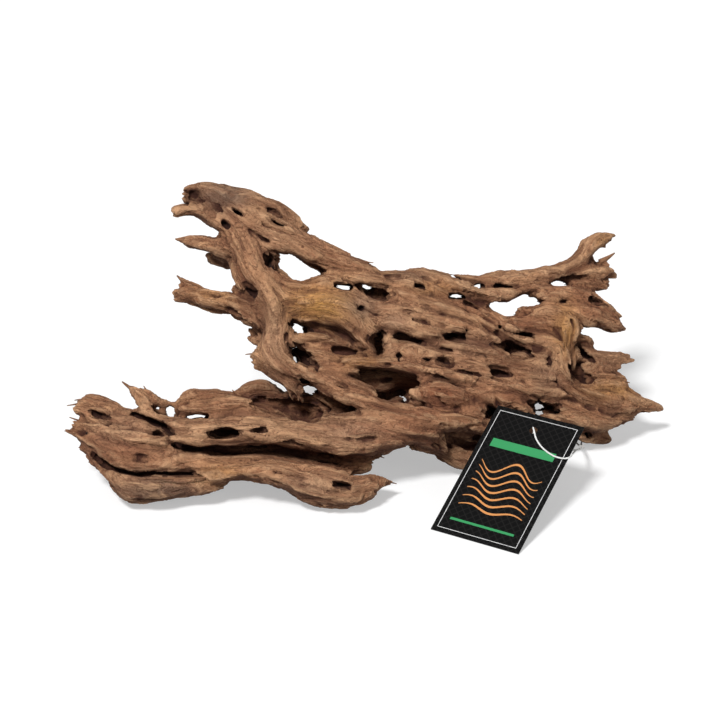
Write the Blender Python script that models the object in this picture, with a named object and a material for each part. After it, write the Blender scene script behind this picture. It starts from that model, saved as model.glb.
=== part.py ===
"""Dragon wood: one gnarled piece of weathered root wood, with a paper hang tag on a loop.

The wood grew as one piece, so it is one solid. It is built as it grew, from strands of
wood that run along the grain, grow into one another and leave holes between them.
Every strand is a row of stations (x, h, d, w, t) in millimetres: x to the right and h up
in the picture plane of a viewer who looks slightly down, d away from the viewer, w half
the strand's width across the picture and t half its thickness in depth.
"""

import math

import bmesh
import bpy
from mathutils import Matrix, Vector

# Driving dimensions, in metres unless the name says otherwise.
MM = 0.001
BOX_CENTRE_MM = (4.965, 46.359)     # x and y of the middle of the whole box, moved to the origin
VIEW_TILT = math.radians(26.0)      # how far the viewer looks down
VIEW_DISTANCE_MM = 1500.0           # from the viewer to the picture plane
PICTURE_CENTRE_MM = (-1.2, 87.0)    # where the viewer looks, in the picture plane
LEAN = 0.16                         # how much further back the wood lies for each mm of h
SWEEP = 0.42                        # how much further back its right end lies for each mm of x
SWEEP_START_MM = 25.0               # where the sweep sets in, gently
SWEEP_EASE_MM = 20.0

STRAND_SIDES = 14
WOOD_SQUARENESS = 2.7               # of a strand's section: 2 is an ellipse, more is squarer
HOLLOW_SQUARENESS = 2.0
CREASE_FILL_MM = 1.3                # creases between strands are filled to this radius
STATION_STEP_MM = 3.0
LEAST_HALF_WIDTH_MM = 0.4           # of a strand where it ends in a point
TIP_REACH = 0.6                     # how far a strand's domed end stands out, of its half width
UNION_VOXEL = 0.0011
HOLLOW_VOXEL = 0.0010
WOOD_FACES = 11600
SMOOTHING = 0.5
SMOOTHING_STEPS = 2
GROUND_CUT_SIZE = 0.6

WINDOW_FRONT_MM = -55.0             # how far the cutters of the through holes reach
WINDOW_SHOULDER_MM = -18.0
WINDOW_WAIST_MM = -2.0
WINDOW_BACK_MM = 70.0
WINDOW_FLARE = 1.25                 # how much wider a through hole is at its mouths
SHOULDER_FLARE = 1.125
MOUTH_LIFT = 2.0                    # how far the front mouth is lifted, of the front edge's lift

# The tag stands on its lower edge and leans back on the wood.
TAG_FOOT_MM = (40.5, -29.3)         # x and y of its lower left corner
TAG_TURN = math.radians(-30.2)      # of its lower edge, seen from above
TAG_SIZE = (0.058, 0.0953, 0.0006)
TAG_LEAN = math.radians(28.0)       # of its face, above the ground
TAG_HOLE_DIAMETER = 0.005
TAG_HOLE_FROM_TOP = 0.011
TAG_HOLE_SIDES = 24
LOOP_DIAMETER = 0.001
LOOP_SIDES = 8

# The lower log, its left end first.
LOG_STRANDS = [
    # belly that the left end rests on
    [(-158, 24, 0, 2.5, 7), (-147, 17, -2, 7, 13), (-134, 10.5, -4.5, 9, 16),
     (-119, 10.5, -4, 8, 16), (-105, 11.5, -2, 6, 15), (-92, 11.5, 0, 5, 12), (-83, 14, 4, 2, 6)],
    # layers that fan out to the left end's tips
    [(-180.5, 45.3, 2, 1, 1.5), (-174, 44, 1, 2.6, 3.5), (-164, 40, -2, 4.5, 6),
     (-150, 33, -5, 7, 9), (-134, 28.5, -6, 8.5, 12), (-116, 27, -5, 7.5, 13), (-98, 26, -4, 5.5, 12)],
    [(-174.5, 51, 2, 0.8, 1.5), (-168, 48.3, 0, 2.5, 3.5), (-156, 43, -3, 5.5, 7),
     (-142, 38.5, -6, 7, 10), (-126, 36, -6, 7.5, 12), (-112, 34, -3, 6, 12)],
    [(-171, 57, 6, 1.8, 3), (-163, 54.5, 3, 3.6, 5), (-150, 50, -1, 5.5, 7),
     (-136, 46, -4, 7, 9), (-122, 42.5, -4, 7, 10), (-110, 40, 2, 5, 10)],
    [(-170.5, 62, 9, 1.5, 3), (-164, 62.5, 7, 4, 5), (-154, 60.3, 5, 4.5, 6),
     (-144, 54.5, 3, 4.5, 7), (-132, 50, 0, 5.5, 9), (-120, 47, 0, 5.5, 10)],
    [(-153, 61.5, 5, 3, 4), (-147.2, 62.2, 6, 0.7, 1)],
    [(-171, 35.5, 4, 1.2, 2), (-163, 32, 2, 4, 6), (-152, 25.5, 0, 6, 9), (-140, 21, -1, 6, 11)],
    [(-166.3, 26, 3, 0.8, 1.2), (-159, 24.5, 2, 2.8, 5), (-150, 20, 0, 5, 8)],
    # horn and the rim behind it
    [(-143, 73.3, 10, 0.6, 0.8), (-139, 70.5, 9, 1.8, 2.2), (-134.5, 66.5, 7, 3.3, 4),
     (-130, 60, 4, 4.2, 6), (-124.5, 53, 0, 4, 7), (-116, 48, -3, 3.5, 7)],
    [(-132, 68.5, 9, 1.8, 3), (-128.5, 66.5, 9, 3, 4), (-124, 62.3, 10, 2.6, 4),
     (-117, 60.8, 12, 1.6, 3), (-110, 61.2, 12, 2, 4), (-103, 63.5, 12, 5.2, 6),
     (-94, 64, 12, 5.8, 7), (-84, 63, 12, 5.5, 8), (-74, 62.5, 12, 4, 8)],
    [(-112, 56.5, 8, 2.2, 5), (-100, 58, 8, 3, 7), (-86, 57, 8, 5, 9), (-70, 57.5, 8, 5.5, 10),
     (-56, 56.5, 8, 4, 9), (-46, 53.5, 8, 3, 7), (-36, 49, 8, 2.5, 6)],
    # the arm, which hangs over the long slot and runs on into the body's front lobe
    [(-126, 47, -3, 3.5, 8), (-116, 45.5, -6, 6.5, 12), (-102, 43.5, -8, 8.8, 14),
     (-84, 44, -8, 8.5, 14), (-64, 44.5, -8, 8.3, 14), (-44, 43.5, -7, 8.3, 14),
     (-24, 40.5, -5, 10.5, 15), (-4, 40, -3, 11.5, 16), (16, 43, -2, 10.5, 16),
     (32, 43.5, -1, 8, 14), (42, 38.5, -2, 5.5, 10), (50, 31.8, -2, 1.6, 3)],
    # the wall at the back of the long slot, with a claw at its right end
    [(-118, 33, 6, 8, 14), (-95, 32, 8, 8, 14), (-70, 31.5, 8, 8, 14), (-45, 30, 8, 8.5, 14),
     (-22, 27, 8, 8, 13), (-8, 24.5, 9, 6, 10), (2, 24, 10, 3, 6)],
    [(-8, 30, 4, 4, 8), (4, 30, 5, 3.2, 6), (9, 29.5, 6, 1.8, 3), (12, 28.6, 6, 0.8, 1)],
    # front plates under the slot and the lobe that the right end rests on
    [(-112, 26.5, -7, 5, 10), (-96, 26, -8, 5.3, 9), (-80, 26.3, -9, 4.2, 9),
     (-66, 26.5, -9, 3.2, 8), (-57.5, 27, -8, 1.3, 3)],
    [(-98, 18.5, -6, 2.5, 7), (-89, 17.6, -9, 4.4, 9), (-77, 19, -10, 4, 9),
     (-67, 20.3, -10, 3.2, 7), (-61.5, 21.5, -9, 1.5, 3)],
    [(-100, 21, -2, 6, 14), (-80, 22, -4, 6.5, 15), (-62, 21, -5, 7, 16), (-46, 17.5, -7, 7.5, 16),
     (-31, 13, -8, 10.5, 16), (-16, 9.7, -9, 11.2, 16), (-4, 9.5, -8, 9, 13),
     (7, 13.3, -5, 5.3, 8), (19.5, 13.4, -2, 0.9, 1.5)],
    # back of the log
    [(-152, 34, 10, 6, 8), (-130, 36, 14, 11, 13), (-105, 40, 16, 13, 14), (-80, 42, 18, 13, 14),
     (-50, 42, 18, 12, 14), (-20, 42, 20, 12, 14), (5, 46, 20, 10, 14)],
    # far rim of the trough
    [(-82, 62, 16, 3.5, 8), (-73, 65, 18, 4, 7), (-66, 67.5, 18, 5.5, 8), (-59, 68, 18, 6, 8),
     (-52, 64.5, 18, 5.5, 8), (-44, 62.5, 18, 4.5, 8), (-34, 62, 20, 4, 8), (-24, 62, 20, 5, 8),
     (-14, 62, 18, 5, 8)],
]

# The upper-left limb and its prongs.
LEFT_LIMB_STRANDS = [
    [(-106.5, 190, 4, 1.3, 2), (-100, 190, 4, 3, 4.5), (-92, 188.7, 4, 5.2, 7), (-80, 184, 4, 6, 8),
     (-66, 181.5, 4, 6, 9), (-53, 176.3, 4, 5.3, 9), (-43, 169.5, 3, 5, 8), (-34.5, 164.6, 2, 2.3, 4)],
    [(-96, 183, 6, 4, 6), (-84, 179, 4, 6.5, 9), (-70, 174, 3, 7, 10), (-57, 168, 2, 8, 10),
     (-44, 161.3, 2, 8, 10), (-30, 152.8, 2, 7.4, 10), (-16, 146.5, 2, 6.5, 9), (-4, 142, 2, 5.5, 9),
     (8, 138, 1, 4, 8)],
    [(-12, 147.5, 0, 2.5, 5), (-4, 146.5, 0, 1.7, 3), (5.5, 145.8, 0, 0.6, 1)],
    [(-70, 169, 0, 6, 9), (-60, 162.5, -1, 8.5, 9), (-49, 158.5, -1, 7.5, 9), (-39, 155.5, -1, 5.5, 8),
     (-28, 149.5, 0, 5, 8)],
    [(-89, 182, 4, 4, 7), (-82, 173.5, 2, 7.5, 10), (-73.5, 163.5, 0, 8.5, 11),
     (-70.5, 152, -1, 9.5, 12), (-68, 142, -1, 9.3, 13), (-66, 131, 2, 10, 13)],
    # second prong from the top
    [(-111.8, 175.6, 4, 2.6, 3), (-106, 176.6, 4, 3.2, 4.5), (-98, 176.3, 4, 4.2, 6),
     (-91, 173, 3, 5.5, 7), (-85, 168.5, 2, 4.5, 7), (-80, 166, 1, 4, 7)],
    [(-94, 174, 5, 3, 5), (-88.5, 168.7, 5, 3, 5)],
    # spear-shaped prong and the curled stub under it
    [(-111.3, 159.2, 6, 0.6, 1), (-106.5, 158.2, 5, 2.4, 3), (-99, 157.2, 4, 4.4, 5),
     (-91, 156.3, 3, 4.8, 6.5), (-83, 154.5, 1, 5.5, 8), (-74, 152, 0, 6, 9)],
    [(-91.5, 149.5, 16, 2.6, 4), (-86, 148.3, 15, 4.3, 6), (-77, 147, 12, 5.3, 8), (-68, 146, 8, 5, 8)],
    # lower-left prong, its horn and its small tip
    [(-111.8, 126.3, 6, 4.3, 4.5), (-104, 125.8, 5, 4.8, 6.5), (-96, 124.3, 4, 6, 8),
     (-87, 122.5, 3, 6.3, 9), (-78, 121, 2, 6.5, 10), (-70, 118.5, 2, 8.2, 11), (-60, 115, 2, 9, 12),
     (-52, 110, 2, 8, 12)],
    [(-111, 137.2, 8, 0.8, 1), (-107, 134, 7, 2, 2.8), (-102, 130.5, 6, 3, 4), (-94, 127, 5, 3.5, 5)],
    [(-112.8, 122.3, 5, 0.8, 1.5), (-107, 123.5, 5, 2.2, 4)],
]

# The body, front layer.
BODY_STRANDS = [
    # broad sheets that join the strands on the left
    [(-74, 162, 2, 10, 9), (-68, 150, 1, 12, 10), (-61, 138, 0, 14, 10), (-52, 127, -1, 15, 10),
     (-40, 122, -1, 14, 10), (-26, 124, -1, 12, 10), (-14, 124, 0, 10, 10)],
    [(-56, 119, 0, 12, 9), (-51.5, 107, 0, 7.5, 9), (-52, 97, 0, 7.5, 9), (-52, 88, 0, 9, 9),
     (-43, 79.5, 0, 6.5, 8), (-31, 75, -2, 5, 7)],
    [(-50, 100.5, 0, 3, 7), (-38, 99.3, 0, 2.8, 7), (-27, 98, 1, 4, 7)],
    [(-42, 117, -3, 7, 9), (-28, 118, -4, 9.5, 9), (-14, 117.5, -4, 9.5, 9), (-3, 113, -4, 9, 9),
     (4, 106, -4, 7, 9)],
    [(-24, 113, -4, 5, 9), (-13, 110, -4, 7, 9), (-4, 104, -4, 8, 9), (3, 98, -4, 5.5, 8),
     (7, 93, -3, 2.5, 6)],
    # left edge, down to the prongs over the log
    [(-66, 139, -3, 9, 9), (-58, 131, -4, 10, 9), (-52, 121, -4, 11, 9), (-52, 110, -4, 7.5, 8),
     (-54.5, 100, -3, 5, 7), (-54.5, 91, -4, 5.5, 7), (-46, 83, -4, 6, 7), (-34, 78.5, -5, 5, 7),
     (-18, 75, -6, 4.5, 7), (-5, 70.5, -7, 4, 7), (7, 66.5, -7, 3, 6)],
    [(-46, 124, -5, 7, 9), (-46.5, 112, -4, 6, 8), (-48, 101, -3, 5, 7), (-48, 91, -3, 4.5, 7),
     (-41, 82, -4, 4.5, 7), (-28, 76, -6, 4, 7)],
    [(-68.6, 90.3, 4, 0.8, 1.2), (-64, 90, 3, 2.4, 3), (-58, 88.5, 2, 4.6, 6), (-50, 85, 0, 5, 8)],
    [(-62, 122, 2, 8, 9), (-52, 110, 2, 8, 10), (-51, 98, 2, 7, 9), (-49, 88, 2, 7, 9),
     (-38, 80, 2, 6, 9)],
    [(-65.3, 83, 4, 0.7, 1.2), (-60, 82.4, 3, 2.4, 3.5), (-53, 79.5, 2, 4, 6), (-46.5, 75.3, 2, 4.3, 7),
     (-41.5, 70, 3, 4.6, 7), (-40, 64, 6, 4.5, 7), (-38, 59, 10, 4, 7)],
    [(-67.5, 103.2, 14, 3, 4), (-63, 101.5, 13, 5, 6), (-56, 100, 10, 5, 8)],
    # under the big hole, and on along the top edge to the right
    [(-58, 131, 2, 8, 13), (-46, 128, -1, 8.3, 13), (-35, 126, -2, 8.3, 13), (-24, 129, -2, 8.3, 13),
     (-14, 131.5, 0, 7, 12)],
    [(-60, 123, 0, 8, 12), (-46, 119, -1, 9, 12), (-32, 121, -2, 9, 12), (-18, 124, -2, 9, 12),
     (-6, 122, -1, 8, 12)],
    [(-22, 139, 4, 3, 7), (-12, 138.5, 3, 4.5, 8), (0, 137, 2, 4.5, 9), (12, 135.5, 1, 5.3, 10),
     (24, 134, 0, 6, 11), (37, 130.5, 0, 5.5, 11), (49, 125.5, -1, 5, 11), (61, 119, -1, 5.5, 11),
     (72, 113, -1, 5.5, 11), (83, 106, -2, 6, 12), (94, 99.5, -2, 5, 12), (104, 95, -1, 5, 12)],
    [(25.5, 140, 3, 1.2, 2.5), (34, 138, 3, 3.8, 7), (46, 134.5, 2, 5, 9), (58, 130.5, 2, 4.8, 9),
     (68, 127, 2, 4.5, 9), (78, 123.5, 2, 4, 8)],
    # grey strand, knot ledge and the wall in their shade
    [(-22, 134, 2, 4, 10), (-12, 128.5, 0, 6, 11), (-3, 122, -1, 6.5, 11.5), (1, 114.5, -2, 6.5, 11),
     (2, 107, -4, 6.5, 9.5), (1, 100, -5, 5.5, 8), (3.5, 94.5, -5, 2, 4)],
    [(-43, 119, -6, 4, 6), (-35, 119, -9, 8, 7), (-25, 119, -10.5, 9.5, 7), (-15, 117, -10.5, 9.5, 7),
     (-7, 112, -9.5, 8.5, 7), (-3, 105, -8, 6, 7)],
    [(-36, 101, 6, 9, 12), (-24, 95, 5, 11, 12), (-12, 93, 7, 9, 12), (0, 88, 8, 7, 12)],
    [(-34, 84, 2, 4, 9), (-24, 84, 1, 5, 10), (-14, 81, 0, 5, 10), (-6, 78, 0, 4, 9)],
    [(17, 103, -3, 3, 8), (17.5, 95, -4, 2.8, 7), (15, 88, -5, 3, 7)],
    # three bands of the broad plate right of the middle
    [(16, 127.5, -2, 4, 8), (27, 124.5, -3, 6, 12), (40, 119.5, -3, 6, 12), (54, 114.5, -2, 5.5, 12),
     (66, 110, -2, 5.5, 12), (77, 104, -2, 6, 12)],
    [(5, 118, -4, 4, 5), (14, 117.5, -5, 5.5, 10), (28, 114.5, -5, 6, 12), (43, 109.5, -4, 6.5, 12),
     (56, 106.5, -3, 5, 12), (66, 101, -2, 5, 12), (78, 96, -2, 5, 12)],
    [(4.5, 110, -5, 3, 5), (14, 109.5, -6, 4.5, 9), (28, 107, -6, 5.5, 11), (41, 102.5, -6, 5.5, 11),
     (50, 100.5, -5, 3.5, 9)],
    # bands under the plate
    [(20, 98, 0, 2.5, 8), (32, 96, -1, 4, 10), (46, 95.5, -2, 5, 12), (60, 94, -3, 6.5, 13),
     (75, 91.5, -3, 7, 14), (90, 88, -2, 7, 14), (106, 86, -3, 7, 14)],
    [(14, 91, -2, 3.5, 8), (24, 92.5, -3, 6, 11), (36, 89.5, -3, 6.5, 12), (48, 86.5, -2, 5, 12),
     (62, 84.5, -3, 5.5, 13), (78, 82.5, -3, 6, 13), (94, 80, -3, 6.5, 14), (110, 77.5, -3, 7, 14)],
    # finger stub and the band that it belongs to
    [(-11.5, 85.3, -8, 2.3, 3), (-5, 86, -8, 3.2, 4.5), (6, 85.7, -7, 3.7, 6), (17, 84.5, -6, 4.5, 9),
     (30, 82, -5, 5.5, 11), (45, 79, -5, 6, 12), (60, 77, -5, 6, 12), (76, 73.5, -5, 6.5, 13),
     (92, 69.5, -5, 7, 13), (107, 68, -4, 6, 13), (120, 66, -3, 5, 12)],
    # bands over the arm
    [(-34, 73.5, 2, 2.5, 7), (-24, 70.5, 0, 3.5, 8), (-12, 66.5, -4, 4.5, 10), (0, 62.5, -6, 5, 12),
     (12, 57, -7, 5.5, 13), (26, 53.5, -7, 6, 14), (42, 51.5, -7, 6, 14), (56, 50.5, -6, 5.5, 13),
     (67, 48, -5, 5.5, 12), (74, 47, -4, 4, 9)],
    [(-22, 52, -4, 3, 8), (-8, 50.5, -5, 5, 12), (8, 50, -6, 6, 14), (24, 47, -6, 6, 14),
     (36, 45.5, -6, 5, 13), (44, 43, -5, 4, 10)],
    # burl and what runs past it
    [(31, 68, -7, 3, 6), (38, 67.5, -9, 6.5, 10), (47, 66.5, -10, 8.5, 12), (56, 64.5, -9, 6.8, 11),
     (63, 62, -7, 3.5, 8)],
    [(60, 70, -4, 5, 12), (74, 66, -5, 5.5, 13), (88, 62.5, -4, 5, 13), (98, 58, -4, 4, 11)],
    [(56, 57, -5, 5, 12), (66, 56, -6, 6, 12), (72, 52, -5, 5, 10), (77, 48, -4, 3, 8)],
    [(78, 48, -2.6, 5, 10), (92, 49, -3.4, 6, 12), (108, 49.5, -2, 6.5, 12), (122, 49, 2, 6, 11)],
]

# The right end with its limb, prongs and tail.
RIGHT_STRANDS = [
    [(46, 138.8, 8, 1.2, 2.5), (56, 136.8, 8, 1.5, 3.5), (66, 134.8, 8, 2.4, 5), (76, 134, 7, 4.5, 7),
     (86, 133.5, 6, 6.8, 8), (96, 133.5, 6, 7.2, 9), (106, 136, 6, 6.5, 9), (116, 138.5, 6, 5.8, 9),
     (125, 142.5, 6, 6, 9), (132.5, 149.5, 6, 5.5, 8), (136, 155.5, 6, 6, 8), (143, 159, 6, 4.9, 6.5),
     (149.5, 159.8, 6, 3.6, 5)],
    [(143, 157, 6, 3, 4), (145.5, 153.5, 6, 1.6, 2)],
    [(126, 137, 6, 5, 8), (135, 139.5, 6, 5.5, 8), (143, 140.3, 6, 4.5, 7), (149, 138.5, 6, 3, 5),
     (151, 137.5, 6, 1.8, 3)],
    [(137, 143.5, 8, 2, 3), (144, 146.2, 8, 1.6, 2), (151.3, 151, 8, 0.6, 0.8)],
    [(124, 131, 6, 4, 8), (134, 131.5, 6, 3.5, 7), (142, 131.3, 6, 3.2, 5), (148, 130.5, 6, 1.4, 2.5)],
    [(66, 127.5, 4, 3.5, 8), (78, 127, 4, 5.5, 9), (90, 128, 4, 4.5, 9), (101, 131, 4, 3, 8)],
    [(100, 132, 2, 3, 8), (112, 129.5, 0, 3.2, 9), (124, 127.5, -2, 4.5, 11), (135, 123.5, -3, 5.5, 11),
     (145, 117, -3, 5, 10), (153, 111, -2, 3.5, 6)],
    # broad sheets of the right end
    [(94, 109, 0, 6, 10), (106, 107, -1, 9, 11), (115, 101, -1.5, 10.5, 12), (116, 91, -1.5, 10, 13),
     (116, 81, -1, 9, 13)],
    [(104, 124, 1, 5, 10), (117, 121.5, -1, 9, 11), (130, 118.5, -1.5, 10, 11),
     (142, 113.5, -1.5, 7.5, 10), (151, 109.5, -1, 5, 8)],
    # big prong and the wood that it grows from
    [(112, 118, 0, 4, 10), (122, 116.5, -2, 6.5, 12), (132, 115, -4, 8, 13), (142, 112, -4, 6, 11),
     (150, 108.3, -3, 4.8, 8), (156.5, 106.3, -2, 2.8, 5)],
    [(100, 113, 0, 4, 10), (110, 113.5, -3, 6.5, 12), (120, 111, -4, 7, 13), (122.5, 104, -5, 7.5, 12),
     (120.5, 96, -5, 7, 12), (119, 88, -5, 7, 12)],
    [(78, 110.5, 0, 2, 7), (88, 108.7, -1, 3, 9), (100, 108, -2, 5, 11), (112, 106.5, -3, 6, 12)],
    [(93.5, 116.5, -1, 1.2, 4), (101, 116, -1, 3, 8), (110, 116, -2, 4, 10)],
    # down the right side and out along the tail
    [(98, 98, -1, 4, 12), (108, 97.5, -3, 7, 14), (117, 92, -4, 8.5, 15), (119, 82, -4, 8, 15),
     (122, 73, -4, 7, 14), (131, 66.5, -4, 6.5, 13), (144, 63.5, -3, 6.5, 12), (156, 61, -1, 7, 10),
     (167, 58.8, 0, 4.6, 7), (176, 58.3, 1, 2.9, 4), (181.3, 57, 2, 0.9, 1.2)],
    [(124, 98.5, -2, 3.5, 8), (131, 99, -3, 3.2, 6), (137, 97, -3, 2, 3.5), (140.5, 94.8, -3, 0.6, 1)],
    [(124, 90, 2, 4, 9), (134, 90, 2, 4.5, 8), (144, 88.3, 2, 4.4, 7), (154, 87.8, 2, 3.6, 5.5),
     (162.3, 87.8, 2, 2.2, 3)],
    [(132, 82, 0, 5, 9), (142, 81.5, 0, 5, 8), (150, 81.5, 1, 3, 5), (155, 82, 1, 0.8, 1.5)],
    [(136, 76, -2, 5, 9), (147, 77, -1, 3.8, 7), (155, 76.5, 0, 2, 3), (160.5, 76, 0, 0.8, 1.2)],
    [(138, 70, -3, 5, 9), (150, 70.5, -2, 5, 8), (160, 69, -1, 2.8, 4), (165, 65, 0, 1.5, 2.5)],
    # under the tail
    [(104, 62, -2, 6, 13), (118, 58.5, -2, 6.5, 13), (131, 54, -2, 7.5, 13), (143, 50.5, -1, 6.5, 11),
     (153, 50.5, 0, 3.8, 7), (161, 51, 1, 1.6, 3)],
    [(112, 50, 4, 5, 11), (122, 46, 6, 5, 9), (130, 44, 6, 5.3, 7), (136, 42.3, 9, 5.2, 6.5),
     (141, 41, 15, 4.6, 7), (146, 39.5, 18, 3.4, 6), (149.5, 38.8, 18, 1.8, 3)],
]

# The body's back layer, the back of the log, the foot on the right and the leg at the back.
BACK_STRANDS = [
    # back of the upper-left limb and of the top edge
    [(-86, 176, 10, 6, 6), (-70, 167, 11, 8, 7), (-55, 161, 12, 7, 7), (-42, 156, 12, 5, 7),
     (-30, 150, 13, 6, 7), (-18, 143, 13, 7, 7), (-4, 137, 13, 7, 8), (10, 131, 13, 8, 8)],
    [(-70, 142, 8, 6, 8), (-58, 134, 12, 7, 8), (-46, 127, 14, 6, 8), (-34, 127, 15, 6, 8),
     (-22, 130, 14, 6, 8), (-10, 133, 12, 5, 8), (4, 133, 12, 5, 8), (20, 132, 12, 6, 8),
     (36, 134, 10, 5, 8), (50, 131, 9, 4, 7)],
    # down the left side and across under the knot
    [(-62, 124, 12, 8, 9), (-51, 112, 14, 7, 9), (-51, 100, 13, 6, 9), (-47, 90, 12, 6, 8),
     (-37, 79, 12, 6, 8), (-24, 70, 14, 6, 8), (-12, 63, 14, 7, 9), (2, 57, 14, 8, 9)],
    [(-56, 118, 15, 7, 8), (-42, 116, 17, 6, 8), (-28, 118, 18, 6, 8), (-14, 122, 17, 7, 8),
     (2, 124, 15, 7, 8), (16, 121, 15, 7, 8), (32, 124, 13, 6, 8), (46, 120, 13, 6, 8),
     (62, 112, 13, 7, 8), (78, 106, 13, 7, 8), (92, 104, 13, 6, 8)],
    [(-30, 104, 18, 6, 7), (-14, 106, 19, 7, 8), (2, 110, 18, 7, 8), (18, 112, 16, 7, 9),
     (34, 108, 15, 6, 9), (50, 104, 15, 6, 9), (66, 101, 15, 6, 9), (80, 97, 15, 6, 9)],
    [(-26, 94, 17, 6, 8), (-10, 92, 19, 6, 8), (6, 96, 18, 7, 8), (22, 100, 16, 6, 9),
     (38, 95, 15, 6, 9), (54, 92, 15, 6, 9), (70, 90, 15, 7, 9), (86, 94, 15, 6, 9),
     (100, 100, 14, 6, 9), (112, 107, 12, 6, 8), (126, 112, 10, 6, 8)],
    [(-34, 78, 12, 5, 8), (-16, 82, 15, 5, 8), (0, 84, 17, 6, 8), (16, 87, 17, 6, 9),
     (32, 85, 16, 6, 9), (48, 82, 15, 6, 9), (64, 84, 15, 6, 9), (80, 82, 15, 6, 9),
     (96, 84, 15, 6, 9), (110, 90, 13, 7, 9), (120, 98, 12, 6, 8)],
    [(-22, 66, 14, 5, 8), (-8, 70, 16, 6, 8), (8, 74, 17, 7, 9), (24, 76, 17, 6, 9),
     (40, 73, 16, 6, 9), (56, 70, 16, 7, 9), (72, 74, 16, 6, 9), (88, 72, 16, 7, 9),
     (104, 74, 15, 7, 9), (118, 78, 13, 6, 8), (130, 84, 9, 5, 7)],
    [(-14, 56, 14, 7, 9), (2, 55, 16, 7, 9), (16, 58, 17, 5, 9), (34, 62, 17, 6, 9),
     (50, 60, 17, 7, 9), (66, 60, 17, 7, 10), (82, 62, 17, 6, 9), (96, 65, 16, 5, 9),
     (110, 65, 15, 5, 9), (124, 66, 13, 7, 9), (138, 64, 11, 7, 9), (152, 60, 8, 6, 8)],
    [(0, 46, 14, 8, 9), (18, 46, 16, 7, 9), (36, 46, 17, 7, 10), (54, 48, 18, 8, 10),
     (70, 50, 18, 7, 10), (86, 50, 18, 7, 9), (102, 50, 16, 6, 9), (118, 54, 14, 6, 9),
     (134, 54, 11, 6, 9), (146, 52, 8, 5, 8)],
    [(60, 122, 10, 5, 8), (76, 127, 10, 5, 8), (92, 132, 11, 5, 7), (108, 137, 11, 5, 7),
     (122, 141, 10, 5, 7)],
    # behind the trough
    [(-62, 56, 22, 5, 7), (-46, 56, 22, 6, 8), (-30, 56, 23, 6, 8), (-14, 58, 22, 6, 8)],
    # back of the log
    [(-150, 30, 10, 5, 8), (-128, 26, 12, 8, 12), (-100, 28, 16, 9, 13), (-70, 28, 18, 9, 13),
     (-40, 28, 18, 9, 13), (-14, 30, 16, 8, 12)],
    [(-142, 48, 10, 5, 8), (-118, 50, 14, 6, 9), (-94, 52, 18, 7, 9), (-70, 54, 20, 7, 9),
     (-46, 54, 20, 7, 9), (-22, 52, 20, 6, 9)],
    # lobe under the body, in its shade
    [(30, 38.5, 10, 5, 9), (46, 37.5, 12, 8.5, 10), (60, 34.5, 12, 12, 12), (74, 33, 12, 12, 12),
     (86, 31, 12, 8, 8)],
    # root at the back, of strands that grow together towards the ground
    [(-26, 88, 14, 9, 10), (-10, 82, 27, 10, 10), (1, 72, 42, 9, 10), (8, 61, 60, 9, 9),
     (14, 52, 76, 7.5, 8), (16, 48, 82, 6, 7)],
    [(30, 84, 16, 8, 9), (25, 75, 29, 8, 9), (20, 64, 46, 7.5, 8), (19, 55, 64, 6.5, 7),
     (21, 49.5, 78, 5.5, 6)],
    [(62, 74, 17, 5, 8), (46, 68, 27, 5.5, 8), (33, 62, 42, 5, 7), (25, 55.5, 60, 4.5, 6)],
    [(2, 96, 20, 8, 8), (6, 84, 30, 8, 9), (10, 72, 46, 7, 8), (13, 62, 62, 6, 7)],
    [(6, 64, 54, 4.5, 6), (-3, 59, 62, 3.5, 4.5), (-10, 57, 68, 1.8, 2.5), (-14, 57, 71, 0.8, 1)],
    # spur under the right end, at the back
    [(130, 44.5, 8, 4, 5), (130, 46.5, 16, 2.8, 4), (130, 48.5, 26, 1.8, 3)],
]

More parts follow.
